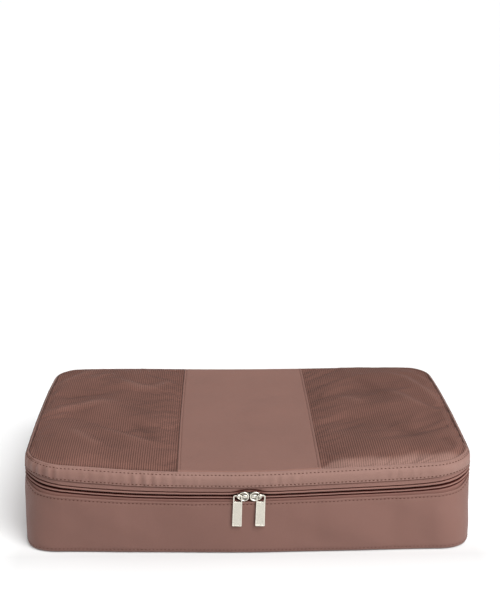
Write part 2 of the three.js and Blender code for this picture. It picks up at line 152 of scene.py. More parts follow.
def waves(seed, count, shortest, longest, angle=None, spread=pi):
    """A smooth field of a few seeded sine waves, about -1 to 1."""
    draw = np.random.default_rng(seed)
    parts = []
    for _ in range(count):
        length = draw.uniform(shortest, longest)
        if angle is None:
            heading = draw.uniform(0, pi)
        else:
            heading = draw.uniform(-spread / 2, spread / 2) + angle
        rate_u, rate_v = cos(heading) * 2 * pi / length, sin(heading) * 2 * pi / length
        parts.append((rate_u, rate_v, draw.uniform(0, 6.28), draw.uniform(0.6, 1.0)))
    norm = 1.0 / math.sqrt(sum(part[3] ** 2 for part in parts) * 0.5) / 1.8

    def field(u, v):
        total = 0
        for rate_u, rate_v, phase, weight in parts:
            total = total + weight * np.sin(rate_u * u + rate_v * v + phase)
        return total * norm
    return field


# ---------------------------------------------------------------- outlines in plan
def line(start, end, inward):
    """A straight part of an outline: its length, least count of steps, and points."""
    (x0, y0), (x1, y1) = start, end

    def points(t):
        return x0 + (x1 - x0) * t, y0 + (y1 - y0) * t, inward[0] + 0 * t, inward[1] + 0 * t
    return math.hypot(x1 - x0, y1 - y0), 2, points


def corner(centre_x, centre_y, degrees):
    """A quarter turn that starts at the given angle, in the same form as a line."""
    first, last = radians(degrees), radians(degrees + 90)

    def points(t):
        angle = first + (last - first) * t
        side, front = np.cos(angle), np.sin(angle)
        return centre_x + CORNER * side, centre_y + CORNER * front, -side, -front
    return CORNER * abs(last - first), 8, points


class Path:
    """An outline that gives x, y and the inward normal at a distance along it."""

    def __init__(self, parts, step=0.5):
        stations, rows = [], []
        self.length = 0.0
        for length, least, points in parts:
            t = np.linspace(0, 1, max(least, int(length / step)) + 1)
            rows.append(points(t))
            stations.append(self.length + length * t)
            self.length += length
        stations = np.concatenate(stations)
        keep = np.concatenate([[True], np.diff(stations) > 1e-9])
        self.stations = stations[keep]
        self.rows = [np.concatenate(row)[keep] for row in zip(*rows)]

    def __call__(self, along):
        return [np.interp(along, self.stations, row) for row in self.rows]

    def world(self, along, depth, z):
        """Warped points at a depth behind the outline."""
        x, y, inward_x, inward_y = self(along)
        return warp(x + inward_x * depth, y + inward_y * depth, z)


ROUND_FRONT = [  # from the left back corner round the front to the right back corner
    corner(-CORNER_X, CORNER_Y, 90),
    line((-HALF_X, CORNER_Y), (-HALF_X, -CORNER_Y), (1, 0)),
    corner(-CORNER_X, -CORNER_Y, 180),
    line((-CORNER_X, -HALF_Y), (CORNER_X, -HALF_Y), (0, 1)),
    corner(CORNER_X, -CORNER_Y, 270),
    line((HALF_X, -CORNER_Y), (HALF_X, CORNER_Y), (-1, 0)),
    corner(CORNER_X, CORNER_Y, 0),
]


def back_line(start_x, end_x):
    return line((start_x, HALF_Y), (end_x, HALF_Y), (0, -1))


ZIP = Path([back_line(-ZIP_END_X, -CORNER_X)] + ROUND_FRONT + [back_line(CORNER_X, ZIP_END_X)])
RING = Path(ROUND_FRONT + [back_line(CORNER_X, -CORNER_X)])
BACK = Path([back_line(ZIP_END_X - 0.35, -ZIP_END_X + 0.35)])
ZIP_MIDDLE = ZIP.length / 2  # the middle of the front


def front_x(along):
    """Distance along the zipper from the middle of the front; negative is left."""
    return along - ZIP_MIDDLE


def stations(step, spare):
    """Places along the zipper's outline, the last one at its end."""
    along = np.arange(0, ZIP.length + spare, step)
    along[-1] = ZIP.length
    return along


# ---------------------------------------------------------------- meshes
def new_object(name, data):
    ob = bpy.data.objects.new(name, data)
    SCENE.collection.objects.link(ob)
    return ob


def evaluated(ob):
    return ob.evaluated_get(bpy.context.evaluated_depsgraph_get())


def add_tone(mesh, values):
    """The tone attribute, which the materials read."""
    layer = mesh.attributes.new("tone", "FLOAT", "POINT")
    layer.data.foreach_set("value", np.asarray(values, np.float32).ravel())


def shade_smooth(mesh):
    mesh.polygons.foreach_set("use_smooth", np.ones(len(mesh.polygons), bool))


def make(name, verts, faces, uvs=None, sharp_degrees=None, tone=None):
    """An object from points and UVs in mm."""
    mesh = bpy.data.meshes.new(name)
    mesh.from_pydata((np.asarray(verts, float) * MM).tolist(), [], faces)
    shade_smooth(mesh)
    if uvs is not None:
        layer = mesh.uv_layers.new(name="cloth")
        layer.data.foreach_set("uv", (np.asarray(uvs, float) * MM).astype(np.float32).ravel())
    if tone is not None:
        add_tone(mesh, tone)
    if sharp_degrees:
        mesh.set_sharp_from_angle(angle=radians(sharp_degrees))
    mesh.validate()
    mesh.update()
    return new_object(name, mesh)


def grid_faces(rows, cols, wrap_rows=False, wrap_cols=True):
    """Quads between the points of a grid, row by row."""
    i = np.arange(rows if wrap_rows else rows - 1)[:, None]
    k = np.arange(cols if wrap_cols else cols - 1)[None, :]
    j, l = (i + 1) % rows, (k + 1) % cols
    quads = np.broadcast_arrays(i * cols + k, i * cols + l, j * cols + l, j * cols + k)
    return np.stack(quads, -1).reshape(-1, 4)


def tube_faces(rows, cols, first=0):
    """A tube of closed rings, capped at both ends; first is its first point's index."""
    caps = [list(range(cols))[::-1], [(rows - 1) * cols + k for k in range(cols)]]
    faces = grid_faces(rows, cols).tolist() + caps
    return [[first + k for k in face] for face in faces]


def tube_points(centres, tangent, normal, radius, sides):
    """Rings of points round a line of centres."""
    angle = np.arange(sides) * 2 * pi / sides
    binormal = np.cross(tangent, normal)
    around = (np.cos(angle)[:, None] * normal[..., None, :]
              + np.sin(angle)[:, None] * binormal[..., None, :])
    return centres[..., None, :] + np.asarray(radius)[..., None, None] * around


def signed_area(outline):
    x, y = outline[:, 0], outline[:, 1]
    return 0.5 * np.sum(x * np.roll(y, -1) - np.roll(x, -1) * y)


def dense(profile, step):
    """A closed section with points no further apart than step."""
    profile = np.asarray(profile, float)
    points = []
    for start, end in zip(profile, np.roll(profile, -1, 0)):
        count = math.ceil(np.linalg.norm(end - start) / step)
        points += [start + (end - start) * k / count for k in range(count)]
    return np.array(points)


def rounded(profile):
    """A closed section with its corners cut once."""
    following = np.roll(profile, -1, 0)
    cut = [0.75 * profile + 0.25 * following, 0.25 * profile + 0.75 * following]
    return np.stack(cut, 1).reshape(-1, 2)


def ribbon_section(depth0, depth1, z0, z1, step):
    return rounded(dense([(depth0, z0), (depth0, z1), (depth1, z1), (depth1, z0)], step))


def sweep(name, path, along, profile, shift=None, closed=False, tone=None):
    """A closed section of (depth, height) swept along the outline and moved by shift."""
    profile = np.asarray(profile, float)
    if signed_area(profile) < 0:
        profile = profile[::-1]
    rows, cols = len(along), len(profile)
    place = along[:, None] + np.zeros((1, cols))
    depth = np.zeros((rows, 1)) + profile[None, :, 0]
    z = np.zeros((rows, 1)) + profile[None, :, 1]
    shade = tone(place, depth, z) if tone else None
    if shift:
        depth, z = shift(place, depth, z)
    verts = path.world(place, depth, z).reshape(-1, 3)

    edges = np.linalg.norm(np.roll(profile, -1, 0) - profile, axis=1)
    around = np.concatenate([[0], np.cumsum(edges)])
    ends = np.append(along, along[-1] + (along[1] - along[0])) if closed else along
    uv_grid = np.stack(np.meshgrid(ends, around, indexing="ij"), -1).reshape(-1, 2)
    uvs = uv_grid[grid_faces(len(ends), cols + 1, wrap_cols=False).ravel()]
    if closed:
        faces = grid_faces(rows, cols, wrap_rows=True).tolist()
    else:
        faces = tube_faces(rows, cols)
        uvs = np.concatenate([uvs, profile[::-1] + (along[0], 0), profile + (along[-1], 0)])
    return make(name, verts, faces, uvs, 50, shade)


def slab(name, x, y, upper, lower, tone=None):
    """A panel between two grids of points; x and y are its UVs."""
    rows, cols = x.shape
    count = rows * cols
    faces = grid_faces(rows, cols, wrap_cols=False)
    index = np.arange(count).reshape(rows, cols)
    rim = np.concatenate([index[0], index[1:, -1], index[-1, -2::-1], index[-2:0:-1, 0]])
    if x[0, -1] < x[0, 0]:  # columns that run to the left would face down
        faces, rim = faces[:, ::-1], rim[::-1]
    following = np.roll(rim, -1)
    side = np.stack([rim, rim + count, following + count, following], -1)
    faces = np.concatenate([faces, faces[:, ::-1] + count, side])
    plan = np.concatenate([np.stack([x.ravel(), y.ravel()], -1)] * 2)
    verts = np.concatenate([upper.reshape(-1, 3), lower.reshape(-1, 3)])
    shade = None if tone is None else np.concatenate([tone.ravel()] * 2)
    return make(name, verts, faces.tolist(), plan[faces.ravel()], 50, shade)


def sheet(name, xs, ys, top, thickness):
    """A cloth panel with rows at each of ys, its face at height top(x, y)."""
    x = np.broadcast_to(xs, (len(ys), np.shape(xs)[-1]))
    y = np.broadcast_to(ys[:, None], x.shape)
    z = top(x, y)
    return slab(name, x, y, warp(x, y, z), warp(x, y, z - thickness))


def drape(name, points, held):
    """Settles a sheet of cloth whose held points are sewn down and which is filled from below."""
    rows, cols = points.shape[:2]
    faces = grid_faces(rows, cols, wrap_cols=False)
    start, beside_it, behind = points[0, 0], points[0, 1], points[1, 0]
    if np.cross(beside_it - start, behind - start)[2] < 0:
        faces = faces[:, ::-1]
    mesh = bpy.data.meshes.new(name)
    mesh.from_pydata((points.reshape(-1, 3) * MM).tolist(), [], faces.tolist())
    ob = new_object(name, mesh)
    group = ob.vertex_groups.new(name="held")
    group.add(np.flatnonzero(held.ravel()).tolist(), 1.0, "REPLACE")
    cloth = ob.modifiers.new("cloth", "CLOTH")
    settings = cloth.settings
    settings.quality = 6
    settings.mass = 0.15
    settings.air_damping = 2.0
    settings.tension_stiffness = 18
    settings.compression_stiffness = 18
    settings.shear_stiffness = 6
    settings.bending_stiffness = 1.0
    settings.vertex_group_mass = "held"
    settings.shrink_min = -0.010  # the cloth is a little larger than its opening
    settings.use_pressure = True
    settings.uniform_pressure_force = 1.2
    settings.effector_weights.gravity = 0
    cloth.collision_settings.use_collision = False
    last_frame = 18
    cloth.point_cache.frame_start = 1
    cloth.point_cache.frame_end = last_frame
    for i in range(1, last_frame + 1):
        SCENE.frame_set(i)
    settled = evaluated(ob)
    out = np.empty(rows * cols * 3, np.float32)
    settled.data.vertices.foreach_get("co", out)
    bpy.data.objects.remove(ob)
    SCENE.frame_set(1)
    return out.reshape(rows, cols, 3).astype(float) / MM


def finer(points):
    """Twice the points in both directions, on a smooth curve through the given ones."""
    for axis in (0, 1):
        rows = np.moveaxis(points, axis, 0)
        more = np.concatenate([2 * rows[:1] - rows[1:2], rows, 2 * rows[-1:] - rows[-2:-1]])
        out = np.empty((2 * len(rows) - 1,) + rows.shape[1:])
        out[0::2] = rows
        out[1::2] = (9 * (more[1:-2] + more[2:-1]) - more[:-3] - more[3:]) / 16
        points = np.moveaxis(out, 0, axis)
    return points


def edge_spaced(half, margin, edge_count, middle_count):
    """Values from -half to half that lie closer together within margin of the ends."""
    return np.concatenate([
        np.linspace(-half, -half + margin, edge_count)[:-1],
        np.linspace(-half + margin, half - margin, middle_count),
        np.linspace(half - margin, half, edge_count)[1:],
    ])


def depth_in(x, y):
    """How far a point of the plan lies behind the outline."""
    past_x, past_y = np.abs(x) - CORNER_X, np.abs(y) - CORNER_Y
    round_part = np.hypot(np.maximum(past_x, 0), np.maximum(past_y, 0))
    return CORNER - (round_part + np.minimum(np.maximum(past_x, past_y), 0))


def reach(y, depth):
    """The x at which the outline, moved in by depth, passes y."""
    past_y = np.clip(np.abs(y) - CORNER_Y, 0, None)
    return CORNER_X + np.sqrt(np.clip((CORNER - depth) ** 2 - past_y ** 2, 0, None))


# ---------------------------------------------------------------- materials
def srgb(*rgb):
    """A linear colour from 0-255 sRGB values."""
    parts = [c / 255 for c in rgb]
    return (*((c / 12.92) if c <= 0.04045 else ((c + 0.055) / 1.055) ** 2.4 for c in parts), 1.0)


class Graph:
    """Short ways to add and link the nodes of a tree. A value may be a number or an output."""

    def __init__(self, tree):
        self.tree = tree

    def put(self, node, inputs):
        for key, value in inputs.items():
            if hasattr(value, "is_output"):
                self.tree.links.new(value, node.inputs[key])
            else:
                node.inputs[key].default_value = value

    def node(self, kind, inputs=None, **properties):
        node = self.tree.nodes.new("ShaderNode" + kind)
        for key, value in properties.items():
            setattr(node, key, value)
        self.put(node, inputs or {})
        return node

    def math(self, operation, *values):
        return self.node("Math", dict(enumerate(values)), operation=operation).outputs[0]

    def times(self, first, second):
        return self.math("MULTIPLY", first, second)

    def plus(self, first, second):
        return self.math("ADD", first, second)

    def minus(self, first, second):
        return self.math("SUBTRACT", first, second)

    def remap(self, value, start, end, low=0.0, high=1.0, **properties):
        """low at start, high at end."""
        inputs = {"Value": value, "From Min": start, "From Max": end,
                  "To Min": low, "To Max": high}
        return self.node("MapRange", inputs, **properties).outputs[0]

    def xyz(self, vector):
        return self.node("SeparateXYZ", {0: vector}).outputs


class Material(Graph):
    def __init__(self, name):
        self.material = bpy.data.materials.new(name)
        self.material.use_nodes = True
        super().__init__(self.material.node_tree)
        self.tree.nodes.clear()
        output = self.node("OutputMaterial")
        self.surface = self.node("BsdfPrincipled")
        self.tree.links.new(self.surface.outputs[0], output.inputs[0])

    def finish(self, inputs):
        """Sets the surface's inputs and returns the material."""
        self.put(self.surface, inputs)
        return self.material

    def math(self, operation, first, second=0.0):
        return super().math(operation, first, second, 0.0)

    def place(self):
        return self.node("TexCoord").outputs["Object"]

    def tone(self):
        return self.node("Attribute", attribute_name="tone").outputs["Fac"]

    def noise(self, vector, scale, detail=2.0):
        inputs = {"Scale": scale, "Detail": detail, "Roughness": 0.5, "Vector": vector}
        return self.node("TexNoise", inputs).outputs["Fac"]

    def spread(self, noise, low, high):
        """Widens the middle of a noise's range to low..high."""
        return self.remap(noise, 0.3, 0.7, low, high)

    def mix(self, factor, color, other, **properties):
        inputs = {0: factor, 6: color, 7: other}
        return self.node("Mix", inputs, data_type="RGBA", **properties).outputs[2]

    def scale(self, color, value):
        """color times value"""
        grey = self.node("CombineColor", {0: value, 1: value, 2: value}).outputs[0]
        return self.mix(1.0, color, grey, blend_type="MULTIPLY")

    def bump(self, height, distance, strength, under=None):
        inputs = {"Strength": strength, "Distance": distance, "Height": height}
        if under is not None:
            inputs["Normal"] = under
        return self.node("Bump", inputs).outputs[0]


def nylon(name, rgb, pitch=0.42, rough=0.6, twill=False, depth=0.00005, sheen=0.03, painted_shade=False):
    """Woven cloth. pitch is the weave's, in mm; where its tone is low, a cloth so marked darkens as
    painted shade.
    """
    mat = Material(name)
    place = mat.place()
    u, v, _ = mat.xyz(mat.node("UVMap", uv_map="cloth").outputs[0])
    rate = 2 * pi / (pitch * MM)
    if twill:
        weave = mat.math("SINE", mat.times(mat.plus(u, v), rate))
    else:
        weave = mat.times(mat.math("SINE", mat.times(u, rate)),
                          mat.math("SINE", mat.times(v, rate)))
    broad = mat.noise(place, scale=9.0, detail=3.0)
    medium = mat.noise(place, scale=60.0, detail=3.0)
    fine = mat.noise(place, scale=1400.0)
    shade = mat.plus(mat.spread(broad, low=0.96, high=1.04),
                     mat.spread(medium, low=-0.02, high=0.02))
    shade = mat.plus(shade, mat.times(weave, 0.05))
    shade = mat.plus(shade, mat.spread(fine, low=-0.03, high=0.03))
    color = mat.scale(srgb(*rgb), shade)
    # painted shade: a low tone mixes the colour towards a dark red-brown, standing for shade in
    # grooves and hollows
    if painted_shade:
        color = mat.mix(mat.minus(1.0, mat.tone()), color, srgb(78, 26, 16))
    relief = mat.bump(medium, distance=0.0004, strength=0.35)
    relief = mat.bump(weave, distance=depth, strength=0.8, under=relief)
    return mat.finish({
        "Base Color": color,
        "Roughness": mat.spread(medium, low=rough - 0.05, high=rough + 0.05),
        "Normal": mat.bump(fine, distance=0.00008, strength=0.5, under=relief),
        "Sheen Weight": sheen,
        "Sheen Roughness": 0.45,
        "Specular IOR Level": 0.22,
    })


def mesh_cloth(name, rgb, paler_rgb):
    """Warp-knit mesh: ribs that run front to back, with small staggered holes between them.
    A tone above 0 is paler and one below 0 is darker."""
    pitch_x, pitch_y = 2.3, 1.6  # of the holes, in mm
    hole_x, hole_y = 0.52, 0.50  # radii of a hole, in mm
    knit_pitch = 0.52
    mat = Material(name)
    place = mat.place()
    x, y, _ = mat.xyz(place)
    columns = mat.times(x, 1 / (pitch_x * MM))
    column = mat.math("FLOOR", columns)
    cell_x = mat.minus(mat.math("FRACT", columns), 0.5)
    stagger = mat.times(mat.math("MODULO", mat.math("ABSOLUTE", column), 2.0), 0.5)
    holes_y = mat.plus(mat.times(y, 1 / (pitch_y * MM)), stagger)
    cell_y = mat.minus(mat.math("FRACT", holes_y), 0.5)
    from_x = mat.times(cell_x, pitch_x / hole_x)
    from_y = mat.times(cell_y, pitch_y / hole_y)
    squares = mat.plus(mat.times(from_x, from_x), mat.times(from_y, from_y))
    hole = mat.remap(mat.math("SQRT", squares), start=0.6, end=1.1, low=1.0, high=0.0)
    gap = mat.math("COSINE", mat.times(cell_x, 2 * pi))  # 1 in a column of holes, -1 on a rib
    knit = mat.math("SINE", mat.times(y, 2 * pi / (knit_pitch * MM)))
    broad = mat.noise(place, scale=9.0, detail=3.0)
    medium = mat.noise(place, scale=70.0, detail=3.0)
    fine = mat.noise(place, scale=1500.0)
    shade = mat.plus(mat.spread(broad, low=0.95, high=1.05),
                     mat.spread(medium, low=-0.02, high=0.02))
    shade = mat.minus(shade, mat.times(hole, 0.50))
    shade = mat.minus(shade, mat.times(gap, 0.22))
    shade = mat.plus(shade, mat.spread(fine, low=-0.04, high=0.04))
    # the paler colour shows the seam allowance behind the mesh and, on folds, painted highlight; a
    # negative tone darkens as painted shade
    tone = mat.tone()
    paler = mat.math("MAXIMUM", tone, 0.0)
    shade = mat.times(shade, mat.plus(1.0, mat.math("MINIMUM", tone, 0.0)))
    pale_shade = mat.remap(shade, start=0.2, end=1.2, low=0.62, high=1.12)
    pale = mat.scale(srgb(*paler_rgb), pale_shade)
    height = mat.minus(mat.times(gap, -0.5), mat.times(hole, 1.0))
    height = mat.plus(height, mat.times(knit, 0.12))
    relief = mat.bump(height, distance=0.00022, strength=0.7)
    return mat.finish({
        "Base Color": mat.mix(paler, mat.scale(srgb(*rgb), shade), pale),
        "Roughness": mat.spread(medium, low=0.62, high=0.74),
        "Normal": mat.bump(fine, distance=0.0001, strength=0.4, under=relief),
        "Sheen Weight": 0.01,
        "Specular IOR Level": 0.08,
    })


def plastic(name, rgb):
    mat = Material(name)
    grain = mat.noise(mat.place(), scale=300.0)
    return mat.finish({
        "Base Color": mat.scale(srgb(*rgb), mat.spread(grain, low=0.9, high=1.1)),
        "Roughness": mat.spread(grain, low=0.38, high=0.5),
        "Normal": mat.bump(grain, distance=0.00005, strength=0.4),
        "Specular IOR Level": 0.12,
    })


def metal(name, color, rough):
    """Metal brushed upright; a low tone makes it darker."""
    mat = Material(name)
    place = mat.place()
    x, y, z = mat.xyz(place)
    grain = mat.noise(place, scale=220.0, detail=3.0)
    stretched = {0: mat.times(x, 9.0), 1: mat.times(y, 9.0), 2: mat.times(z, 0.5)}
    brush = mat.noise(mat.node("CombineXYZ", stretched).outputs[0], scale=400.0, detail=1.0)
    shade = mat.times(mat.tone(), mat.spread(grain, low=0.96, high=1.03))
    return mat.finish({
        "Base Color": mat.scale(color, shade),
        "Roughness": mat.plus(mat.spread(brush, low=rough - 0.05, high=rough + 0.06),
                              mat.spread(grain, low=-0.02, high=0.03)),
        "Normal": mat.bump(brush, distance=0.00001, strength=0.15),
        "Metallic": 1.0,
    })


FINISHES = {  # finish: (material, slot)
    # wall, panel and band are the same nylon; each colour was matched to how bright that part
    # looks, so their differences are partly painted light and shade: the band is paler where it
    # tilts up into the light
    "wall": (nylon("nylon_cloth", (115.5, 83.7, 75.4)), "nylon"),
    "panel": (nylon("panel_cloth", (127.6, 93.3, 83.6)), "nylon"),
    "band": (nylon("band_cloth", (135, 103.8, 94.6), pitch=0.5, twill=True, painted_shade=True), "nylon"),
    "lining": (nylon("lining_cloth", (126, 94, 85), pitch=0.35), "nylon"),
    "mesh": (mesh_cloth("mesh_cloth", (111.0, 78.6, 69.8), (140, 110, 101)), "mesh_cloth"),
    "tape": (nylon("tape_cloth", (130, 96, 87), pitch=0.6, rough=0.65, depth=0.00008,
                   painted_shade=True), "zipper_tape"),
    "chain": (nylon("chain_cloth", (118, 86, 77), pitch=0.6, depth=0.0001), "zipper_tape"),
    "binding": (nylon("binding_cloth", (122, 89, 80), pitch=0.9, rough=0.7, depth=0.00012),
                "binding"),
    # the thread is coloured darker than the cloth: partly its own colour, partly painted shade of
    # the needle holes along the stitch rows
    "thread": (nylon("thread", (72, 39, 30), pitch=0.5, rough=0.7, sheen=0.0), "nylon"),
    # the coil is coloured darker and redder than the tape: partly its own dark brown, partly
    # painted shade of the groove between the tapes
    "coil": (plastic("coil_plastic", (80, 27, 17)), "zipper_coil"),
    "metal": (metal("satin_nickel", (0.60, 0.57, 0.50, 1), rough=0.26), "nickel"),
}


def dress(ob, finish, body, *nodes):
    """Gives a piece its material, the body it moves with and the CAD nodes it replaces."""
    material, slot = FINISHES[finish]
    ob.data.materials.append(material)
    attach(ob, body)
    if nodes:
        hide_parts(*nodes)


# ---------------------------------------------------------------- stitches
def on_cloth(path, shift, depth, z, out=(-1, 0)):
    """Places stitches along a swept cloth; out is the (depth, height) way out of it."""
    def place(along, lift):
        moved, height = shift(along, np.full_like(along, depth), np.full_like(along, z))
        return path.world(along, moved + out[0] * lift, height + out[1] * lift)
    return place


def stitches(name, body, place, start, end, pitch=3.9, length=2.0, radius=0.45):
    """A row of stitches. place(along, lift) gives points lift mm above the cloth."""
    count = int((end - start) / pitch)
    centres = start + (np.arange(count) + 0.5) * (end - start) / count
    # each stitch: places along it, their lift and their share of the radius
    part = np.array([-0.5, -0.36, -0.15, 0.15, 0.36, 0.5])
    lift = np.array([-0.28, 0.05, 0.16, 0.16, 0.05, -0.28])
    taper = np.array([0.55, 0.95, 1.0, 1.0, 0.95, 0.55])
    sides = 6
    along = centres[:, None] + part[None, :] * length
    lift = np.broadcast_to(lift[None, :], along.shape)
    tangent = unit(place(along + 0.1, lift) - place(along - 0.1, lift))
    normal = unit(place(along, lift + 0.5) - place(along, lift - 0.5))
    rings = tube_points(place(along, lift), tangent, normal, taper * radius, sides)
    faces = []
    for i in range(count):
        faces += tube_faces(len(part), sides, first=i * len(part) * sides)
    dress(make(name, rings.reshape(-1, 3), faces), "thread", body)


pucker_wave = waves(13, 6, 9, 26, 0.0, 0.5)


def pucker(along, near, amount=0.16):
    """Small gathers beside a stitch row, one a stitch, with a slower change along the seam."""
    gathers = 0.6 * np.cos(along * 2 * pi / 3.9) + 0.6 * pucker_wave(along, along * 0.3)
    return near * amount * gathers


# ---------------------------------------------------------------- how the zipper line moves
def parted(along, z):
    """How far the sliders push the tapes off the chain's centreline, up or down."""
    from_middle = np.abs(front_x(along))
    gap = 1.9 * bell(from_middle - 5.0, 7.5) + 0.9 * bell(from_middle, 5.0)
    return np.sign(z - ZIP_Z) * gap * (1 - smooth(3.2, 9.0, np.abs(z - ZIP_Z)))


def beside(along):
    """0 at the front; 1 along the sides, where the cloths close over the zipper; less behind."""
    from_middle = np.abs(front_x(along))
    return (smooth(CORNER_X + 30, CORNER_X + 64, from_middle)
            * (1 - 0.6 * smooth(CORNER_X + 190, CORNER_X + 300, from_middle)))


def drop(along):
    """How far the zipper hangs lower as it turns each front corner."""
    past = np.abs(front_x(along)) - 212
    return 3.4 * bell(past, np.where(past > 0, 18.0, 30.0))


def at_corner(along):
    """1 in the middle of each front corner, fading faster along the sides than the front."""
    past = np.abs(front_x(along)) - (CORNER_X + HALF_ARC)
    return bell(past, np.where(past > 0, 24.0, 34.0))


# ---------------------------------------------------------------- base wall
wall_wave = waves(11, 7, 60, 170, 0.35, 1.1)
wall_fine = waves(12, 8, 22, 60, 0.5, 1.6)

# Sections are lists of (depth behind the outline, height).
FOOT_OUTER = [(3.6, 0.05), (2.4, 0.15), (1.3, 0.7), (0.55, 1.9), (0.15, 3.4), (0, 5.5)]
FOOT_INNER = [(1.6, 4.2), (2.2, 2.6), (3.6, 1.35)]
WALL_OUTER = FOOT_OUTER + [(0, 10), (0, 49), (0, 54.2), (0.25, 54.75), (0.75, 54.95)]
WALL_INNER = [(1.25, 54.7), (1.4, 54.0), (1.4, 10), (1.4, 6.0)] + FOOT_INNER


def wall_shift(along, depth, z):
    out = (1.2 - 0.9 * beside(along)) * np.sin(pi * np.clip((z - 2) / 53, 0, 1))
    climb = 2.8 * beside(along) - 1.2 * drop(along)
    z = z + climb * smooth(34, 55, z)
    # slow and fine undulation, calm in the middle of the front
    out = out + 1.05 * wall_wave(along, z) * np.sin(pi * np.clip(z / 56, 0, 1)) ** 0.5
    out = out + 0.30 * wall_fine(along, z) * smooth(2, 12, z)
    out = out * (1 - 0.9 * bell(front_x(along), 42.0))
    # grooves and gathers at the stitch rows
    row = STITCH_WALL + climb * smooth(34, 55, STITCH_WALL)
    out = out - 0.34 * bell(z - row, 0.8) - 0.18 * bell(z - STITCH_FOOT, 0.9)
    out = out + pucker(along, bell(z - row, 3.2))
    out = out + pucker(along, bell(z - STITCH_FOOT, 2.5), 0.12)
    return depth - out, z


zip_along = stations(1.3, spare=0.65)
wall_section = dense(WALL_OUTER + WALL_INNER, 1.0)
# between the seams one point in three is enough
keep = [i for i, point in enumerate(wall_section) if not (9 < point[1] < 46 and i % 3)]
wall = sweep("base_wall_cloth", ZIP, zip_along, wall_section[keep], wall_shift)
dress(wall, "wall", "base", "base_wall")

ROW_END = 3.0  # from a stitch row's end to the end of its cloth
ZIP_ROW = (ROW_END, ZIP.length - ROW_END)
foot_depth = np.interp(STITCH_FOOT, (3.4, 5.5), (0.15, 0))  # of the section's outer face
stitches("wall_foot_stitches", "base", on_cloth(ZIP, wall_shift, foot_depth, STITCH_FOOT),
         *ZIP_ROW, radius=0.27)
stitches("wall_top_stitches", "base", on_cloth(ZIP, wall_shift, 0.0, STITCH_WALL), *ZIP_ROW)

# ---------------------------------------------------------------- lid band
band_wave = waves(21, 6, 25, 80, 0.1, 0.6)
gather_wave = waves(22, 7, 6.5, 15, 0.0, 0.35)
gather_slow = waves(23, 4, 60, 150, 0.0, 0.2)

LID_EDGE_OUTER = [(0, 76), (0.2, 78.2), (0.75, 80.2), (1.6, 81.6), (2.7, 82.7), (3.8, 83.4),
                  (4.8, 83.95), (5.5, 84.3), (5.95, 84.2)]
LID_EDGE_INNER = [(5.85, 83.7), (4.9, 82.9), (3.9, 82.1), (2.8, 81.0), (2.0, 79.6), (1.45, 78.0)]
BAND_OUTER = [(1.1, 70.5), (0.75, 70.2), (0.3, 70.25), (0.02, 70.7), (0, 72)] + LID_EDGE_OUTER
BAND_INNER = LID_EDGE_INNER + [(1.25, 76), (1.25, 71.2)]


def over_sides(along):
    """0 along the front, 1 along the sides, where the band turns over the edge by less."""
    from_middle = np.abs(front_x(along))
    end = ZIP_MIDDLE
    return (smooth(CORNER_X + 40, CORNER_X + 66, from_middle)
            * (1 - smooth(end - CORNER_X - 70, end - CORNER_X - 36, from_middle - CORNER_X)))


def band_gathers(along, z):
    strength = 0.35 + 0.65 * smooth(-0.3, 0.8, gather_slow(along, 0 * z))
    return gather_wave(along, 0.12 * z) * strength


def left_corner(along):
    """1 towards the left front corner, where the band is gathered most."""
    x = front_x(along)
    return smooth(-60, -175, x) * (1 - smooth(-240, -275, x))


def band_shift(along, depth, z):
    out = 0.22 * band_wave(along, z) * np.sin(pi * np.clip((z - 71) / 11, 0, 1))
    out = out - 0.28 * bell(z - STITCH_BAND, 0.8)
    out = out + pucker(along, bell(z - STITCH_BAND, 2.5))
    out = out + ((0.26 + 0.6 * left_corner(along)) * band_gathers(along, z)
                 * np.clip((z - 70) / 3, 0, 1) * (1 - smooth(81, 83.6, z)))
    # the groove and the gathers at the upper stitch row
    lift = (-0.30 * bell(np.hypot(depth - 2.5, z - 82.5), 0.8)
            + pucker(along, bell(depth - 2.7, 2.4) * smooth(79, 82, z)))
    depth = depth * (1 - 0.28 * over_sides(along) * smooth(76, 81, z))
    slider_lift = np.maximum(parted(along, z) * 0.35 * (1 - smooth(70, 74, z)), 0)
    return depth - out, z + lift + slider_lift - 2.8 * beside(along) * (1 - smooth(70, 79, z))


def band_painted_shade(along, depth, z):
    """Painted shade: the band is darker between its gathers, where they shade each other, and
    towards the left corner, which is turned away from the light.
    """
    left = left_corner(along)
    hollow = np.clip(0.5 - band_gathers(along, z), 0, 1)
    return 1 - 0.08 * left - (0.03 + 0.16 * left) * hollow * (1 - smooth(82, 84, z))


band_section = dense(BAND_OUTER + BAND_INNER, 0.8)
band = sweep("lid_band_cloth", ZIP, zip_along, band_section, band_shift, tone=band_painted_shade)
dress(band, "band", "lid", "lid_band")
stitches("band_lower_stitches", "lid", on_cloth(ZIP, band_shift, 0.0, STITCH_BAND), *ZIP_ROW)
stitches("band_upper_stitches", "lid", on_cloth(ZIP, band_shift, *LID_ROW, LID_ROW_OUT), *ZIP_ROW)


# ---------------------------------------------------------------- zipper
def zip_inward(along, z):
    """How far the tapes go in at the front corners, and out along the sides."""
    inward = 0.6 * at_corner(along) - 1.7 * beside(along)
    return inward * smooth(50, 57, z) * (1 - smooth(68, 73, z))


def zip_drop(along, z):
    return drop(along) * (1 - smooth(64, 71, z))


def tape_shift(along, depth, z):
    from_middle = np.abs(front_x(along))
    near_sliders = bell(from_middle - 6.5, 8.0) + bell(from_middle, 4.0) * 0.4
    inward = zip_inward(along, z)
    inward = inward + 0.9 * near_sliders * smooth(53, 57, z) * (1 - smooth(66, 70, z))
    ripple = 0.06 * pucker_wave(along, 0 * along)
    return depth + inward, z + parted(along, z) + ripple - zip_drop(along, z)


def binding_shift(along, depth, z):
    return depth + zip_inward(along, z) + 0.15, z - zip_drop(along, z)


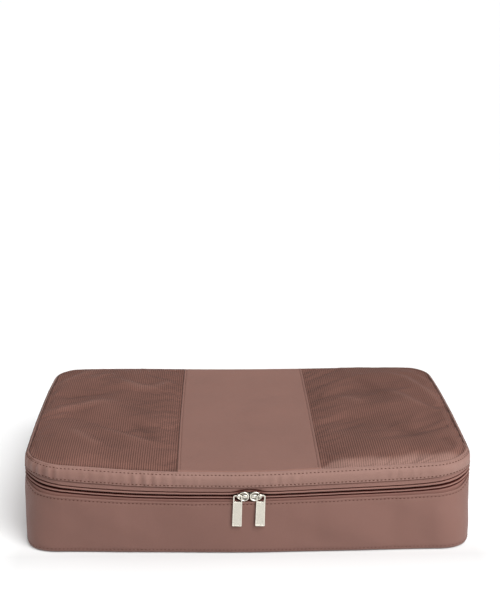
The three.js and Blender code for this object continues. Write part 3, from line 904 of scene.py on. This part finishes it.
def tape_painted_shade(along, depth, z, outer):
    """Painted shade on the tape's outer face: darker in its folds, along its edges under the wall
    and the band, and by the chain beside the sliders.
    """
    near_sliders = bell(np.abs(front_x(along)) - 7.0, 8.0)
    tone = 1 - smooth(2.0, 2.8, depth)
    tone = tone * (0.78 + 0.22 * smooth(55.7, 56.3, z)) * (1 - 0.8 * smooth(68.9, 69.3, z))
    off_chain = smooth(4.2, 5.8, np.abs(z - ZIP_Z))
    return np.where(outer, tone * (1 - 0.85 * near_sliders * (1 - off_chain)), 1.0)


# Tape sections: from the hidden edge down or up the outer face to the chain, and back inside.
LOWER_TAPE = [
    (2.1, 43), (2.1, 50), (2.15, 55.6), (2.2, 56.6), (2.45, 57.0), (4.6, 57.15), (4.9, 57.75),
    (4.6, 58.4), (2.4, 58.5), (1.75, 58.65), (1.5, 58.95), (1.5, 59.35), (1.7, 59.65),
    (2.1, 59.8), (4.0, 59.85), (4.3, 59.6), (4.5, 59.1), (5.2, 58.8), (5.4, 57.7), (5.2, 56.7),
    (3.0, 56.3), (2.75, 55.0), (2.7, 50), (2.7, 43),
]
UPPER_TAPE = [
    (2.1, 74.5), (2.1, 70), (1.75, 68.6), (1.7, 65.6), (1.85, 65.1), (2.3, 64.75), (3.6, 64.7),
    (3.9, 64.3), (3.6, 63.9), (2.3, 63.85), (1.65, 63.6), (1.5, 63.2), (1.5, 62.6),
    (1.7, 62.2), (2.1, 61.95), (4.0, 61.9), (4.3, 62.1), (4.3, 63.6), (4.5, 63.9), (4.6, 64.8),
    (4.2, 65.3), (2.9, 65.5), (2.5, 66.2), (2.6, 70), (2.7, 74.5),
]


def tape(level, body, profile, turn_z):
    """One tape; its outer face ends where the section turns back, at turn_z."""
    section = rounded(dense(profile, 1.0))
    turn = int(np.argmin(np.hypot(section[:, 0] - 4.3, section[:, 1] - turn_z)))
    outer = np.arange(len(section)) <= turn
    if signed_area(section) < 0:
        section, outer = section[::-1], outer[::-1]

    def tone(along, depth, z):
        return tape_painted_shade(along, depth, z, outer[None, :])
    ob = sweep(f"zipper_tape_{level}_cloth", ZIP, zip_along, section, tape_shift, tone=tone)
    dress(ob, "tape", body, f"zipper_tape_{level}")


def coil_inward(along):
    return 0.6 * at_corner(along) - 1.5 * beside(along)


def coil(level, body, sign, phase):
    """A row of teeth: a wire wound along the zipper, above (sign 1) or below its centreline."""
    pitch, per_turn, sides, radius = 1.7, 8, 5, 0.33
    turns = int((ZIP.length - 4) / pitch)
    turn = np.arange(turns * per_turn + 1) / per_turn
    angle = 2 * pi * turn
    along = 2 + phase * pitch + turn * pitch
    depth = 5.6 + 0.8 * np.cos(angle) + coil_inward(along)
    z = ZIP_Z + sign * 1.9 - sign * 1.3 * np.sin(angle)
    z = z + parted(along, ZIP_Z + sign) - drop(along)
    centres = ZIP.world(along, depth, z)
    tangent = unit(np.gradient(centres, axis=0))
    _, _, inward_x, inward_y = ZIP(along)
    axis = np.stack([-inward_y, inward_x, np.zeros_like(inward_x)], -1)
    normal = unit(np.cross(tangent, axis))
    rings = tube_points(centres, tangent, normal, radius, sides)
    faces = tube_faces(len(centres), sides)
    ob = make(f"zipper_coil_{level}_teeth", rings.reshape(-1, 3), faces)
    dress(ob, "coil", body, f"zipper_coil_{level}")


def tape_edge(level, body, sign):
    """The woven edge of a tape behind its coil, round the corners and along the sides."""
    # (depth, distance from the centreline)
    profile = ((6.9, 0.04), (6.9, 3.2), (7.15, 3.2), (7.15, 0.04))[::-sign]
    along = np.linspace(2, ZIP.length - 2, 520)
    verts, faces = [], []
    for part in (along[front_x(along) < -180], along[front_x(along) > 180]):
        faces += tube_faces(len(part), 4, first=len(verts))
        inward = coil_inward(part)
        rings = [ZIP.world(part, depth + inward, ZIP_Z + sign * off - drop(part))
                 for depth, off in profile]
        verts += list(np.stack(rings, axis=1).reshape(-1, 3))
    # the faces towards the coil get no tone, so they take the tape's painted shade for the dark
    # behind the coil; the inner faces keep the tape's colour
    inner = np.tile([float(depth > 7) for depth, _ in profile], len(verts) // 4)
    ob = make(f"zipper_tape_{level}_edge_cloth", verts, faces, sharp_degrees=30, tone=inner)
    dress(ob, "tape", body)


tape("lower", "base", LOWER_TAPE, turn_z=59.6)
tape("upper", "lid", UPPER_TAPE, turn_z=62.1)
coil("lower", "base", -1, phase=0.0)
coil("upper", "lid", 1, phase=0.5)
tape_edge("lower", "base", -1)
tape_edge("upper", "lid", 1)

# ---------------------------------------------------------------- bindings over the long seams
binding_along = stations(3.0, spare=1)
for level, body, z0, z1 in (("lower", "base", 42.6, 50), ("upper", "lid", 67.4, 74.4)):
    ribbon = sweep(f"zipper_binding_{level}_ribbon", ZIP, binding_along,
                   ribbon_section(2.9, 3.9, z0, z1, 2.0), binding_shift)
    dress(ribbon, "binding", body, f"zipper_binding_{level}")

ring_along = np.linspace(0, RING.length, 420, endpoint=False)
for name, body, section in (
    ("bottom_seam", "base", ribbon_section(3.4, 9.4, 1.9, 2.9, 1.5)),
    ("lid_seam", "lid", ribbon_section(6.6, 13, 81.2, 82.2, 1.5)),
):
    ribbon = sweep(name + "_ribbon", RING, ring_along, section, closed=True)
    dress(ribbon, "binding", body, name + "_binding")


def upright(name, x, z0, z1, body, node):
    """A short ribbon over an upright seam of the back wall."""
    rows = 24
    section = [(x - 6, 0), (x + 6, 0), (x + 6, 1.0), (x - 6, 1.0)]  # (x, towards the back)
    section = rounded(dense(section, 3.0))
    shape = (rows, len(section))
    across = np.broadcast_to(section[None, :, 0], shape)
    y = HALF_Y - 5.3 + np.broadcast_to(section[None, :, 1], shape)
    z = np.broadcast_to(np.linspace(z0, z1, rows)[:, None], shape)
    faces = tube_faces(*shape)
    uvs = np.stack([across.ravel(), z.ravel()], -1)[np.concatenate(faces)]
    ob = make(name, warp(across, y, z).reshape(-1, 3), faces, uvs)
    dress(ob, "binding", body, node)


for side, sign in SIDES:
    x = sign * ZIP_END_X
    upright("back_seam_ribbon_" + side, x, 3.6, 56, "base", "back_seam_binding_" + side)
    upright("lid_corner_ribbon_" + side, x, 66, 79.6, "lid", "lid_corner_binding_" + side)

# ---------------------------------------------------------------- back panel
back_wave = waves(31, 6, 60, 170)


def back_shift(along, depth, z):
    from_end = BACK.length / 2 - np.abs(along - BACK.length / 2)
    held = smooth(0, 12, from_end)
    out = 1.0 * np.sin(pi * np.clip((z - 2) / 58, 0, 1)) * held
    out = out + (0.45 * back_wave(along, z) * held
                 * smooth(3, 20, z) * (1 - smooth(72, 78, z)))
    # grooves at the foot stitches and at the hinge
    out = out - 0.25 * bell(z - STITCH_FOOT, 0.9) - 0.5 * bell(z - ZIP_Z, 1.6)
    return depth - out, z


# one sheet for both back panels, with a groove at the zipper's height
back_section = dense(
    FOOT_OUTER + [(0, 30), (0, 55)] + LID_EDGE_OUTER + LID_EDGE_INNER
    + [(1.3, 76), (1.3, 55), (1.3, 30), (1.3, 6.0)] + FOOT_INNER, 1.0)
back_along = np.linspace(0, BACK.length, 165)
back = sweep("back_panel_cloth", BACK, back_along, back_section, back_shift)
back_material, back_slot = FINISHES["wall"]
back.data.materials.append(back_material)
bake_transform(back)
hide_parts("back_panel_lower", "back_panel_upper")

BACK_ROW = (ROW_END, BACK.length - ROW_END)
stitches("back_foot_stitches", "base", on_cloth(BACK, back_shift, 0.12, STITCH_FOOT), *BACK_ROW)
stitches("back_upper_stitches", "lid", on_cloth(BACK, back_shift, *LID_ROW, LID_ROW_OUT),
         *BACK_ROW)


def back_seam_stitches(side, station):
    """An upright stitch row at one end of the wall."""
    def place(height, lift):
        along = np.full_like(height, station)
        depth, _ = wall_shift(along, np.zeros_like(height), height)
        return ZIP.world(along, depth - lift, height)
    stitches("back_seam_stitches_" + side, "base", place, 7, 44)


for (side, _), station in zip(SIDES, ZIP_ROW):
    back_seam_stitches(side, station)

# ---------------------------------------------------------------- bottom panel
FLOOR_INSET = 3.7
floor_wave = waves(41, 6, 60, 160)


def floor_top(x, y):
    ripple = (floor_wave(x, y) * 0.5 + 0.5) * smooth(9, 30, depth_in(x, y))
    return 1.45 + 0.35 * ripple


floor_ys = np.linspace(-(HALF_Y - FLOOR_INSET), HALF_Y - FLOOR_INSET, 110)
floor_xs = np.linspace(-1, 1, 150)[None, :] * reach(floor_ys, FLOOR_INSET)[:, None]
bottom = sheet("bottom_panel_cloth", floor_xs, floor_ys, floor_top, 1.0)
bottom_points = np.array([vertex.co for vertex in bottom.data.vertices])
bottom_points[len(bottom_points) // 2:, 2] = 0.0  # the underside lies flat
bottom.data.vertices.foreach_set("co", bottom_points.ravel())
dress(bottom, "lining", "base", "bottom_panel")

# ---------------------------------------------------------------- lid panels
panel_wave = waves(51, 6, 50, 140)
window_wave = waves(52, 7, 45, 110)
cloth_fine = waves(53, 8, 14, 34)

# Soft ridges (or, with a negative height, hollows) across the windows:
# (points in plan, half width, height)
FOLDS = [
    ([(-228, -11), (-203, -11), (-178, 3), (-160, 14), (-135, 22)], 8.0, 2.55),
    ([(-222, -36), (-201, -28), (-184, -12)], 6.0, 1.5),
    ([(-155, 108), (-135, 83), (-120, 71), (-103, 71), (-84, 103), (-72, 124)], 8.0, 2.55),
    ([(-216, 74), (-191, 118), (-170, 150)], 8.0, 2.1),
    ([(-180, 78), (-163, 117), (-150, 134)], 7.0, 1.65),
    ([(-188, -66), (-161, -100), (-142, -118)], 8.0, 2.1),
    ([(-160, -57), (-130, -75), (-96, -99)], 9.0, 1.95),
    ([(-208, 26), (-178, 44), (-146, 54)], 8.0, -1.95),
    ([(-122, -26), (-104, -60), (-96, -96)], 11.0, -2.25),
    ([(96, 46), (116, 28), (132, 4)], 8.0, 1.8),
    ([(146, 106), (171, 110), (188, 90), (198, 64), (210, 27), (222, -10)], 7.0, 2.3),
    ([(152, 64), (172, 28), (182, 9), (193, -8), (206, -24)], 7.0, 2.1),
    ([(194, 136), (207, 108), (218, 80)], 7.0, 1.8),
    ([(118, 114), (140, 84), (162, 36)], 10.0, -1.4),
    ([(146, -34), (166, -72), (172, -104)], 13.0, -1.9),
    ([(194, -92), (206, -112), (204, -128)], 10.0, -1.8),
]


def fold(x, y, points, width, height):
    """A soft ridge along a polyline, fading at its ends."""
    taper = 0.35
    points = np.asarray(points, float)
    nearest = np.full(np.broadcast(x, y).shape, 1e9)
    along = np.zeros_like(nearest)
    lengths = np.linalg.norm(np.diff(points, axis=0), axis=1)
    total = lengths.sum()
    done = 0.0
    for start, end, length in zip(points, points[1:], lengths):
        way = (end - start) / length
        t = np.clip((x - start[0]) * way[0] + (y - start[1]) * way[1], 0, length)
        distance = np.hypot(x - start[0] - way[0] * t, y - start[1] - way[1] * t)
        closer = distance < nearest
        nearest = np.where(closer, distance, nearest)
        along = np.where(closer, (done + t) / total, along)
        done += length
    fade = smooth(0, taper, along) * smooth(0, taper, 1 - along)
    return height * fade * bell(nearest, width)


def centre_top(x, y):
    depth = depth_in(x, y)
    z = LID_Z + 0.55 - 1.5 * (1 - smooth(4.8, 7.6, depth))  # tucked under the band
    z = z + 0.22 * panel_wave(x, y) * smooth(8, 40, depth) + 0.04 * cloth_fine(x, y)
    # a lip, a stitch groove and the seam itself
    edge = SEAM_X - np.abs(x)
    z = z + 0.30 * bell(edge - 0.9, 0.9) - 0.26 * bell(edge - 2.6, 0.7) - 0.35 * bell(edge, 0.35)
    return z + pucker(y, bell(edge - 2.6, 2.4), 0.09)


def window_depth(x, y):
    """How far a window's point lies behind the outline, as if the band were equally wide."""
    wider = smooth(CORNER_X - 8, CORNER_X + 26, np.abs(x)) * smooth(-154, -130, y)
    return depth_in(x, y) + 1.9 + 1.6 * wider


def allowance(x, y):
    """Where the seam allowance of the band lies behind the mesh, along the front."""
    abs_x = np.abs(x)
    right = x > 0
    right_width = 13.5 + 2.2 * np.sin(abs_x / 13.0 + 0.6) + 1.6 * np.sin(abs_x / 6.1)
    width = np.where(right, right_width, 9.0 + 1.2 * np.sin(abs_x / 9.0))
    width = (width * np.where(right, smooth(SEAM_X - 8, SEAM_X + 14, abs_x),
                              smooth(150, 185, abs_x))
             * (1 - 0.75 * smooth(CORNER_X + 8, CORNER_X + 34, abs_x) * right))
    behind = window_depth(x, y) - 8.0
    shown = 1 - smooth(0.3, 1.35, behind / np.maximum(width, 0.5))
    return (y < -110) * shown * np.where(right, 0.70, 0.12)


def window_tone_and_painted_light(x, y):
    """Paler where the seam allowance shows through, and along the folds, partly for the bunched
    mesh and partly as painted highlight; painted shade in the hollows and beside the band."""
    tone = allowance(x, y) + 0.05 * window_wave(x, y)
    depth = window_depth(x, y)
    room = smooth(9, 20, depth) * smooth(2, 14, np.abs(x) - SEAM_X)
    # fold ridges paler and hollows darker: partly bunched mesh, partly painted highlight and
    # painted shade
    for points, width, height in FOLDS:
        tone = tone + room * fold(x, y, points, width * 0.7, 0.16 * height / 2.0)
    # painted shade along the window's edges beside the band
    edge = smooth(-150, -128, y) * smooth(CORNER_X - 20, CORNER_X + 10, np.abs(x))
    tone = tone - 0.20 * (x < 0) * smooth(-130, -146, y) * bell(depth - 8.5, 2.5)
    return tone - 0.55 * edge * bell(depth - 8.5, 1.2) - 0.05


def window_top(x, y):
    depth = window_depth(x, y)
    from_seam = np.abs(x) - SEAM_X
    z = LID_Z - 0.45 - 0.45 * (1 - smooth(6.6, 9.0, depth))
    front = smooth(-60, -150, y)
    puff = np.where(x > 0, 1.5 + 2.0 * front, 1.1 + 0.9 * front)
    z = z + puff * smooth(7.2, 20, depth) * smooth(0, 24, from_seam)
    room = smooth(9, 30, depth) * smooth(0, 14, from_seam)
    z = z + room * (0.7 * window_wave(x, y) + 0.06 * cloth_fine(x, y))
    for points, width, height in FOLDS:
        z = z + room * fold(x, y, points, width, height)
    return z


LID_INSET = 3.8
LID_SPAN = HALF_Y - LID_INSET  # half the panels' length, front to back
centre_xs = edge_spaced(SEAM_X - 0.15, 6, 13, 70)
centre_ys = edge_spaced(LID_SPAN, 8, 9, 190)
centre = sheet("lid_centre_panel_cloth", centre_xs, centre_ys, centre_top, 0.9)
dress(centre, "panel", "lid", "lid_centre_panel")


def window(side, sign):
    """A mesh window, draped while held round its edges."""
    lap = 3.2  # how far it goes under the centre panel
    ys = edge_spaced(LID_SPAN, 8, 6, 104)
    across = np.concatenate([np.linspace(0, 0.94, 52)[:-1], np.linspace(0.94, 1, 6)])
    far = reach(ys, LID_INSET) + 1.4 * smooth(-152, -130, ys) * (1 - smooth(134, 154, ys))
    far = far[:, None]
    x = sign * (SEAM_X - lap + across[None, :] * (far - SEAM_X + lap))
    y = np.broadcast_to(ys[:, None], x.shape)
    flat = warp(x, y, window_top(x, y))
    held = ((far - np.abs(x) < 2.0) | (np.abs(y) > LID_SPAN - 2.0)
            | (depth_in(x, y) < 5.2) & (y < -130) | (np.abs(x) < SEAM_X + 0.8))
    points = finer(drape("mesh_window_drape_" + side, flat, held))
    x, y = finer(x), finer(y)
    ob = slab(f"lid_mesh_window_{side}_cloth", x, y, points, points - np.array([0, 0, 0.55]),
              window_tone_and_painted_light(x, y))
    dress(ob, "mesh", "lid", "lid_mesh_window_" + side)


def panel_stitches(side, sign):
    """The stitch row along one edge of the centre panel."""
    def place(y, lift):
        x = np.full_like(y, sign * (SEAM_X - 2.6))
        return warp(x, y, centre_top(x, y) + lift)
    end = HALF_Y - 10
    stitches("panel_stitches_" + side, "lid", place, -end, end, pitch=3.4, length=2.3, radius=0.2)


def seam_ribbon(side, sign):
    """The ribbon under the seam between the centre panel and a window."""
    end = HALF_Y - 13.6
    xs = sign * SEAM_X + np.linspace(-5, 5, 7)
    ys = np.linspace(-end, end, 120)
    ob = sheet("mesh_seam_ribbon_" + side, xs, ys, lambda x, y: 82.5 + 0 * x, 1.0)
    dress(ob, "binding", "lid", "mesh_seam_tape_" + side)


for side, sign in SIDES:
    window(side, sign)
    panel_stitches(side, sign)
    seam_ribbon(side, sign)


# ---------------------------------------------------------------- sliders and pulls
# A slider's own axes: x along the zipper, y into the cube, z up; the left one is mirrored.
def loft(sections):
    """A solid through equal closed sections: its points and faces."""
    return np.concatenate(sections), tube_faces(len(sections), len(sections[0]))


def inset(outline, amount):
    """A closed outline moved inwards."""
    tangent = unit(np.roll(outline, -1, 0) - np.roll(outline, 1, 0))
    normal = np.stack([-tangent[:, 1], tangent[:, 0]], -1)
    if signed_area(outline) < 0:
        normal = -normal
    return outline + normal * amount


def plate(outline, rings):
    """A solid through one (x, z) outline at a list of (inset, y)."""
    sections = []
    for amount, y in rings:
        ring = inset(outline, amount)
        sections.append(np.stack([ring[:, 0], np.full(len(ring), y), ring[:, 1]], -1))
    return loft(sections)


def union(name, parts):
    """The mesh of closed parts joined by an exact boolean, with every face outwards."""
    objects = []
    for i, (verts, faces) in enumerate(parts):
        mesh = bpy.data.meshes.new(name + "_%d" % i)
        mesh.from_pydata(np.asarray(verts).tolist(), [], faces)
        work = bmesh.new()
        work.from_mesh(mesh)
        bmesh.ops.recalc_face_normals(work, faces=work.faces)
        if work.calc_volume(signed=True) < 0:
            bmesh.ops.reverse_faces(work, faces=work.faces)
        work.to_mesh(mesh)
        work.free()
        objects.append(new_object(mesh.name, mesh))
    for other in objects[1:]:
        join = objects[0].modifiers.new("join", "BOOLEAN")
        join.operation = "UNION"
        join.solver = "EXACT"
        join.object = other
    bpy.context.view_layer.update()
    mesh = bpy.data.meshes.new_from_object(evaluated(objects[0]))
    for ob in objects:
        bpy.data.objects.remove(ob)
    mesh.name = name
    return mesh


def metal_piece(kind, side, parts, recess, recess_tone, matrix):
    """Joins the parts, darkens the recess and puts the piece in place. recess(x, y, z) marks
    its points."""
    name = f"{kind}_{side}_metal"
    mesh = union(name, parts)
    points = np.array([vertex.co[:] for vertex in mesh.vertices])
    add_tone(mesh, np.where(recess(*points.T), recess_tone, 1.0))
    mesh.transform(matrix)
    mesh.transform(Matrix.Scale(MM, 4))
    shade_smooth(mesh)
    mesh.set_sharp_from_angle(angle=radians(38))
    dress(new_object(name, mesh), "metal", f"{kind}_{side}", f"{kind}_{side}")


def slider_frame(sign):
    origin = cad_warp(sign * 6.4, -HALF_Y, ZIP_Z)
    end, middle = cad_warp(sign * CORNER_X, -HALF_Y, ZIP_Z), cad_warp(0, -HALF_Y, ZIP_Z)
    axis_x = ((end - middle) * sign).normalized()
    axis_y = Vector((0, 0, 1)).cross(axis_x).normalized()
    axis_z = axis_x.cross(axis_y).normalized()
    return Matrix((*zip(axis_x, axis_y, axis_z, origin), (0, 0, 0, 1)))


def egg(half, nose, tail):
    """An egg-shaped outline; nose and tail are its half heights at either end."""
    angle = np.arange(56) * 2 * pi / 56
    x = -half * np.cos(angle)
    height = nose + (tail - nose) * smooth(0.35, 1.0, (x + half) / (2 * half))
    return np.stack([x, height * signed_power(np.sin(angle), 0.78)], -1)


# (inset, y) of the wings' rounded edges
OUTER_WING_RINGS = [(0.4, 1.45), (0.1, 1.3), (0, 1.0), (0, 0.5), (0.12, 0.2), (0.4, -0.02),
                    (0.8, -0.08), (1.15, 0.02), (1.35, 0.25), (1.6, 0.42), (2.0, 0.5)]
INNER_WING_RINGS = [(0.4, 6.6), (0.1, 6.45), (0, 6.2), (0, 5.7), (0.2, 5.45)]
NECK = np.array([(-5.4, 0), (-4.6, 0.8), (-2.2, 0.8), (-1.2, 0), (-2.2, -0.8), (-4.6, -0.8)])


def bridge():
    """The rounded strap that holds the pull's bar, bent over it."""
    centre_x, centre_z, thickness = 4.2, 1.5, 0.8
    leg = 1.95 - thickness / 2
    half = [(-leg, 0.6), (-leg, -1.0), (-leg, -1.9), (-leg + 0.25, -2.45), (-leg + 0.8, -2.73)]
    path = half + [(0, -2.78)] + [(-z, y) for z, y in half[::-1]]  # (z, y)
    sections = []
    for i, (z, y) in enumerate(path):
        before, after = path[max(0, i - 1)], path[min(len(path) - 1, i + 1)]
        tangent = unit(np.array([after[0] - before[0], after[1] - before[1]]))
        ring = []
        for angle in np.arange(20) * 2 * pi / 20:
            across = signed_power(cos(angle), 0.45) * 1.25
            out = signed_power(sin(angle), 0.6) * thickness / 2
            ring.append((centre_x + across, y + tangent[0] * out,
                         centre_z + z - tangent[1] * out))
        sections.append(np.array(ring))
    return loft(sections)


def crown():
    """A low crown on the outer wing, from its nose to the bridge."""
    sections = []
    for part in np.linspace(0, 1, 9):
        x = -4.3 + 5.6 * part
        height = 0.75 * sin(pi * (0.15 + 0.8 * part)) ** 0.7
        half = 1.5 - 0.5 * abs(part - 0.45)
        sections.append(np.array([
            (x, 0.5 - max(0.0, sin(angle)) * height - 0.2 * min(0.0, sin(angle)),
             cos(angle) * half)
            for angle in np.arange(14) * 2 * pi / 14]))
    return loft(sections)


def slider(side, sign, matrix):
    parts = [
        plate(egg(6.1, 5.2, 3.9), OUTER_WING_RINGS),
        plate(egg(5.9, 5.1, 4.2), INNER_WING_RINGS),
        plate(NECK, [(0, 1.2), (0, 5.8)]),
        bridge(),
        crown(),
    ]
    parts = [(verts * np.array([sign, 1, 1]), faces) for verts, faces in parts]

    def recess(x, y, z):
        return (y > 0.3) & (y < 0.56) & (np.abs(z) < 4.4)
    metal_piece("slider", side, parts, recess, 0.34, matrix)


def arc(centre_x, centre_y, radius, start, end, count):
    angles = [radians(start + (end - start) * i / count) for i in range(count + 1)]
    return [(centre_x + radius * cos(a), centre_y + radius * sin(a)) for a in angles]


def pull(side, sign, matrix):
    """A loop with round rails, and below it a flat tab with a raised border."""
    rail = 0.65  # half height of the top rail, which is centred on z = 0
    top_half, end_half = 4.55, 4.75  # half widths of the loop and of the tab's end
    length, loop_end = 32.0, 6.2
    bevel = 0.34  # the curves are drawn this far inside the metal

    def half_width(z):
        return top_half + (end_half - top_half) * (-loop_end - z) / (length - loop_end)

    top_x, top_z = top_half - bevel - 1.6, rail - bevel - 1.6
    end_x, end_z = end_half - bevel - 0.35, -length + bevel + 0.35
    outline = (
        arc(top_x, top_z, 1.6, 90, 0, 6) + [(top_half - bevel, -loop_end)]
        + arc(end_x, end_z, 0.35, 0, -90, 3) + arc(-end_x, end_z, 0.35, -90, -180, 3)
        + [(-top_half + bevel, -loop_end)] + arc(-top_x, top_z, 1.6, 180, 90, 6))
    eye_x = top_half - 1.3 + bevel
    eye_top, eye_end = -rail + bevel - 1.0, -loop_end + 0.5 - bevel
    eye = (arc(eye_x - 1.0, eye_top, 1.0, 0, 90, 5) + arc(-eye_x + 1.0, eye_top, 1.0, 90, 180, 5)
           + arc(-eye_x + 0.5, eye_end, 0.5, 180, 270, 3)
           + arc(eye_x - 0.5, eye_end, 0.5, 270, 360, 3))
    near_x = half_width(-loop_end - 1.7) - 1.15 + bevel
    far_x = half_width(-length + 1.6) - 1.15 + bevel
    near_z, far_z = -loop_end - 1.35 + bevel, -length + 1.45 - bevel
    field = [(near_x, near_z), (far_x, far_z), (-far_x, far_z), (-near_x, near_z)]

    curve = bpy.data.curves.new("pull_curve", "CURVE")
    curve.dimensions = "2D"
    curve.fill_mode = "BOTH"
    for points in (outline, eye, field):
        spline = curve.splines.new("POLY")
        spline.points.add(len(points) - 1)
        for point, (x, y) in zip(spline.points, points):
            point.co = (x, y, 0, 1)
        spline.use_cyclic_u = True
    curve.extrude = 0.7 - bevel
    curve.bevel_depth = bevel
    curve.bevel_resolution = 3
    drawn = new_object("pull_tmp", curve)
    bpy.context.view_layer.update()
    mesh = bpy.data.meshes.new_from_object(evaluated(drawn))
    bpy.data.objects.remove(drawn)
    work = bmesh.new()
    work.from_mesh(mesh)
    bmesh.ops.remove_doubles(work, verts=work.verts, dist=1e-4)
    work.verts.index_update()
    verts = np.array([vertex.co[:] for vertex in work.verts])[:, [0, 2, 1]]  # stood upright
    faces = [[vertex.index for vertex in face.verts] for face in work.faces]
    work.free()

    # the tab's thin field, which reaches into its border
    web = np.array(field) + 0.5 * np.array([(1, 1), (1, -1), (-1, -1), (-1, 1)])
    parts = [(verts, faces), plate(web, [(0, 0.45), (0, -0.45)])]

    def recess(x, y, z):
        return (np.abs(y) < 0.46) & (z < -loop_end - 1) & (np.abs(x) < end_half - 0.9)
    matrix = (matrix @ Matrix.Translation((sign * 5.0, -1.15, 1.5))
              @ Matrix.Rotation(radians(-3), 4, "X")
              @ Matrix.Rotation(radians(0.2 if sign < 0 else 3.4), 4, "Y"))
    metal_piece("pull", side, parts, recess, 0.86, matrix)


for side, sign in SIDES:
    slider_matrix = slider_frame(sign)
    slider(side, sign, slider_matrix)
    pull(side, sign, slider_matrix)


# ---------------------------------------------------------------- stage
def floor_material():
    """White, but softer in the light it throws back, with a painted shadow just in front of the
    cube that only the camera sees.
    """
    white = 0.93
    mat = Material("studio_floor")
    rays = mat.node("LightPath").outputs
    x, y, _ = mat.xyz(mat.node("NewGeometry").outputs["Position"])
    level = mat.minus(white, mat.times(rays["Is Diffuse Ray"], 0.45))
    level = mat.minus(level, mat.times(rays["Is Camera Ray"], 0.13))
    shade = mat.times(rays["Is Camera Ray"], 0.24)
    # the painted shadow fades out at its front, back and ends
    for value, start, end in ((y, -0.2473, -0.1683), (y, -0.11, -0.168),
                              (mat.math("ABSOLUTE", x), 0.275, 0.228)):
        shade = mat.times(shade, mat.remap(value, start, end))
    mat.put(mat.surface, {"Base Color": (white, white, white, 1)})
    return mat.finish({
        "Base Color": mat.scale((1, 1, 1, 1), mat.times(level, mat.minus(1.0, shade))),
        "Roughness": 0.9,
        "Specular IOR Level": 0.1,
        "Emission Color": (1, 1, 1, 1),
        "Emission Strength": 0.08,
    })


floor_finish = floor_material()
floor_mesh = bpy.data.meshes.new("studio_floor")
floor_z = -0.0004
floor_mesh.from_pydata([(x, y, floor_z) for x, y in ((-60, -20), (60, -20), (60, 80), (-60, 80))],
                       [], [[0, 1, 2, 3]])
floor = new_object("studio_floor", floor_mesh)
floor_mesh.materials.append(floor_finish)

# ---------------------------------------------------------------- light
SCENE.view_settings.view_transform = "Standard"
SCENE.view_settings.look = "None"


def studio_world():
    """An even white studio, with a dim part of the room on the camera's side (-y)."""
    world = bpy.data.worlds.new("studio")
    SCENE.world = world
    world.use_nodes = True
    room = Graph(world.node_tree)

    def fade(value, start, end):
        return room.remap(value, start, end, interpolation_type="SMOOTHSTEP")

    _, y, z = room.xyz(room.node("TexCoord").outputs["Generated"])
    dim = room.times(fade(y, -0.15, -0.6), room.times(fade(z, 0.0, 0.12), fade(z, 0.75, 0.45)))
    glow = room.times(0.27, room.minus(1.0, room.times(dim, 0.85)))
    # seen by the camera, the room is plain white
    seen = room.node("LightPath").outputs["Is Camera Ray"]
    background = world.node_tree.nodes["Background"]
    room.put(background, {0: (1, 1, 1, 1), 1: room.math("MAXIMUM", glow, seen)})


def aim(direction):
    return direction.to_track_quat("-Z", "Y").to_euler()


def area_light(name, width, height, energy, location, target):
    light = bpy.data.lights.new(name, "AREA")
    light.shape = "RECTANGLE"
    light.size = width
    light.size_y = height
    light.energy = energy
    ob = new_object(name, light)
    ob.location = location
    ob.rotation_euler = aim(Vector(target) - ob.location)


studio_world()
sun = bpy.data.lights.new("soft_key", "SUN")
sun.energy = 4.0
sun.angle = radians(50)
new_object("soft_key", sun).rotation_euler = aim(Vector((-0.35, 0.55, -0.76)))
area_light("front_right", width=0.5, height=0.4, energy=3.2,
           location=(0.60, -0.75, 0.32), target=(0.05, -0.15, 0.05))
area_light("left_fill", width=0.7, height=0.5, energy=1.6,
           location=(-0.85, -0.06, 0.24), target=(-0.20, -0.10, 0.04))

# ---------------------------------------------------------------- camera
CAMERA_PLACE = (-0.0295, -1.288, 0.5632)
PITCH, YAW, ROLL = radians(14.995), radians(1.50), radians(0.19)  # down, right, and the tilt
forward = Vector((sin(YAW) * cos(PITCH), cos(YAW) * cos(PITCH), -sin(PITCH)))
level_right = Vector((cos(YAW), -sin(YAW), 0))
level_up = level_right.cross(forward)
camera_right = level_right * cos(ROLL) + level_up * sin(ROLL)
camera_up = -level_right * sin(ROLL) + level_up * cos(ROLL)
camera_data = bpy.data.cameras.new("camera")
camera_data.lens = 73.86
camera_data.sensor_width = 36
camera_data.clip_start = 0.01
camera_data.clip_end = 200
camera = new_object("camera", camera_data)
camera.matrix_world = Matrix((*zip(camera_right, camera_up, -forward, CAMERA_PLACE), (0, 0, 0, 1)))
SCENE.camera = camera

bpy.context.view_layer.update()
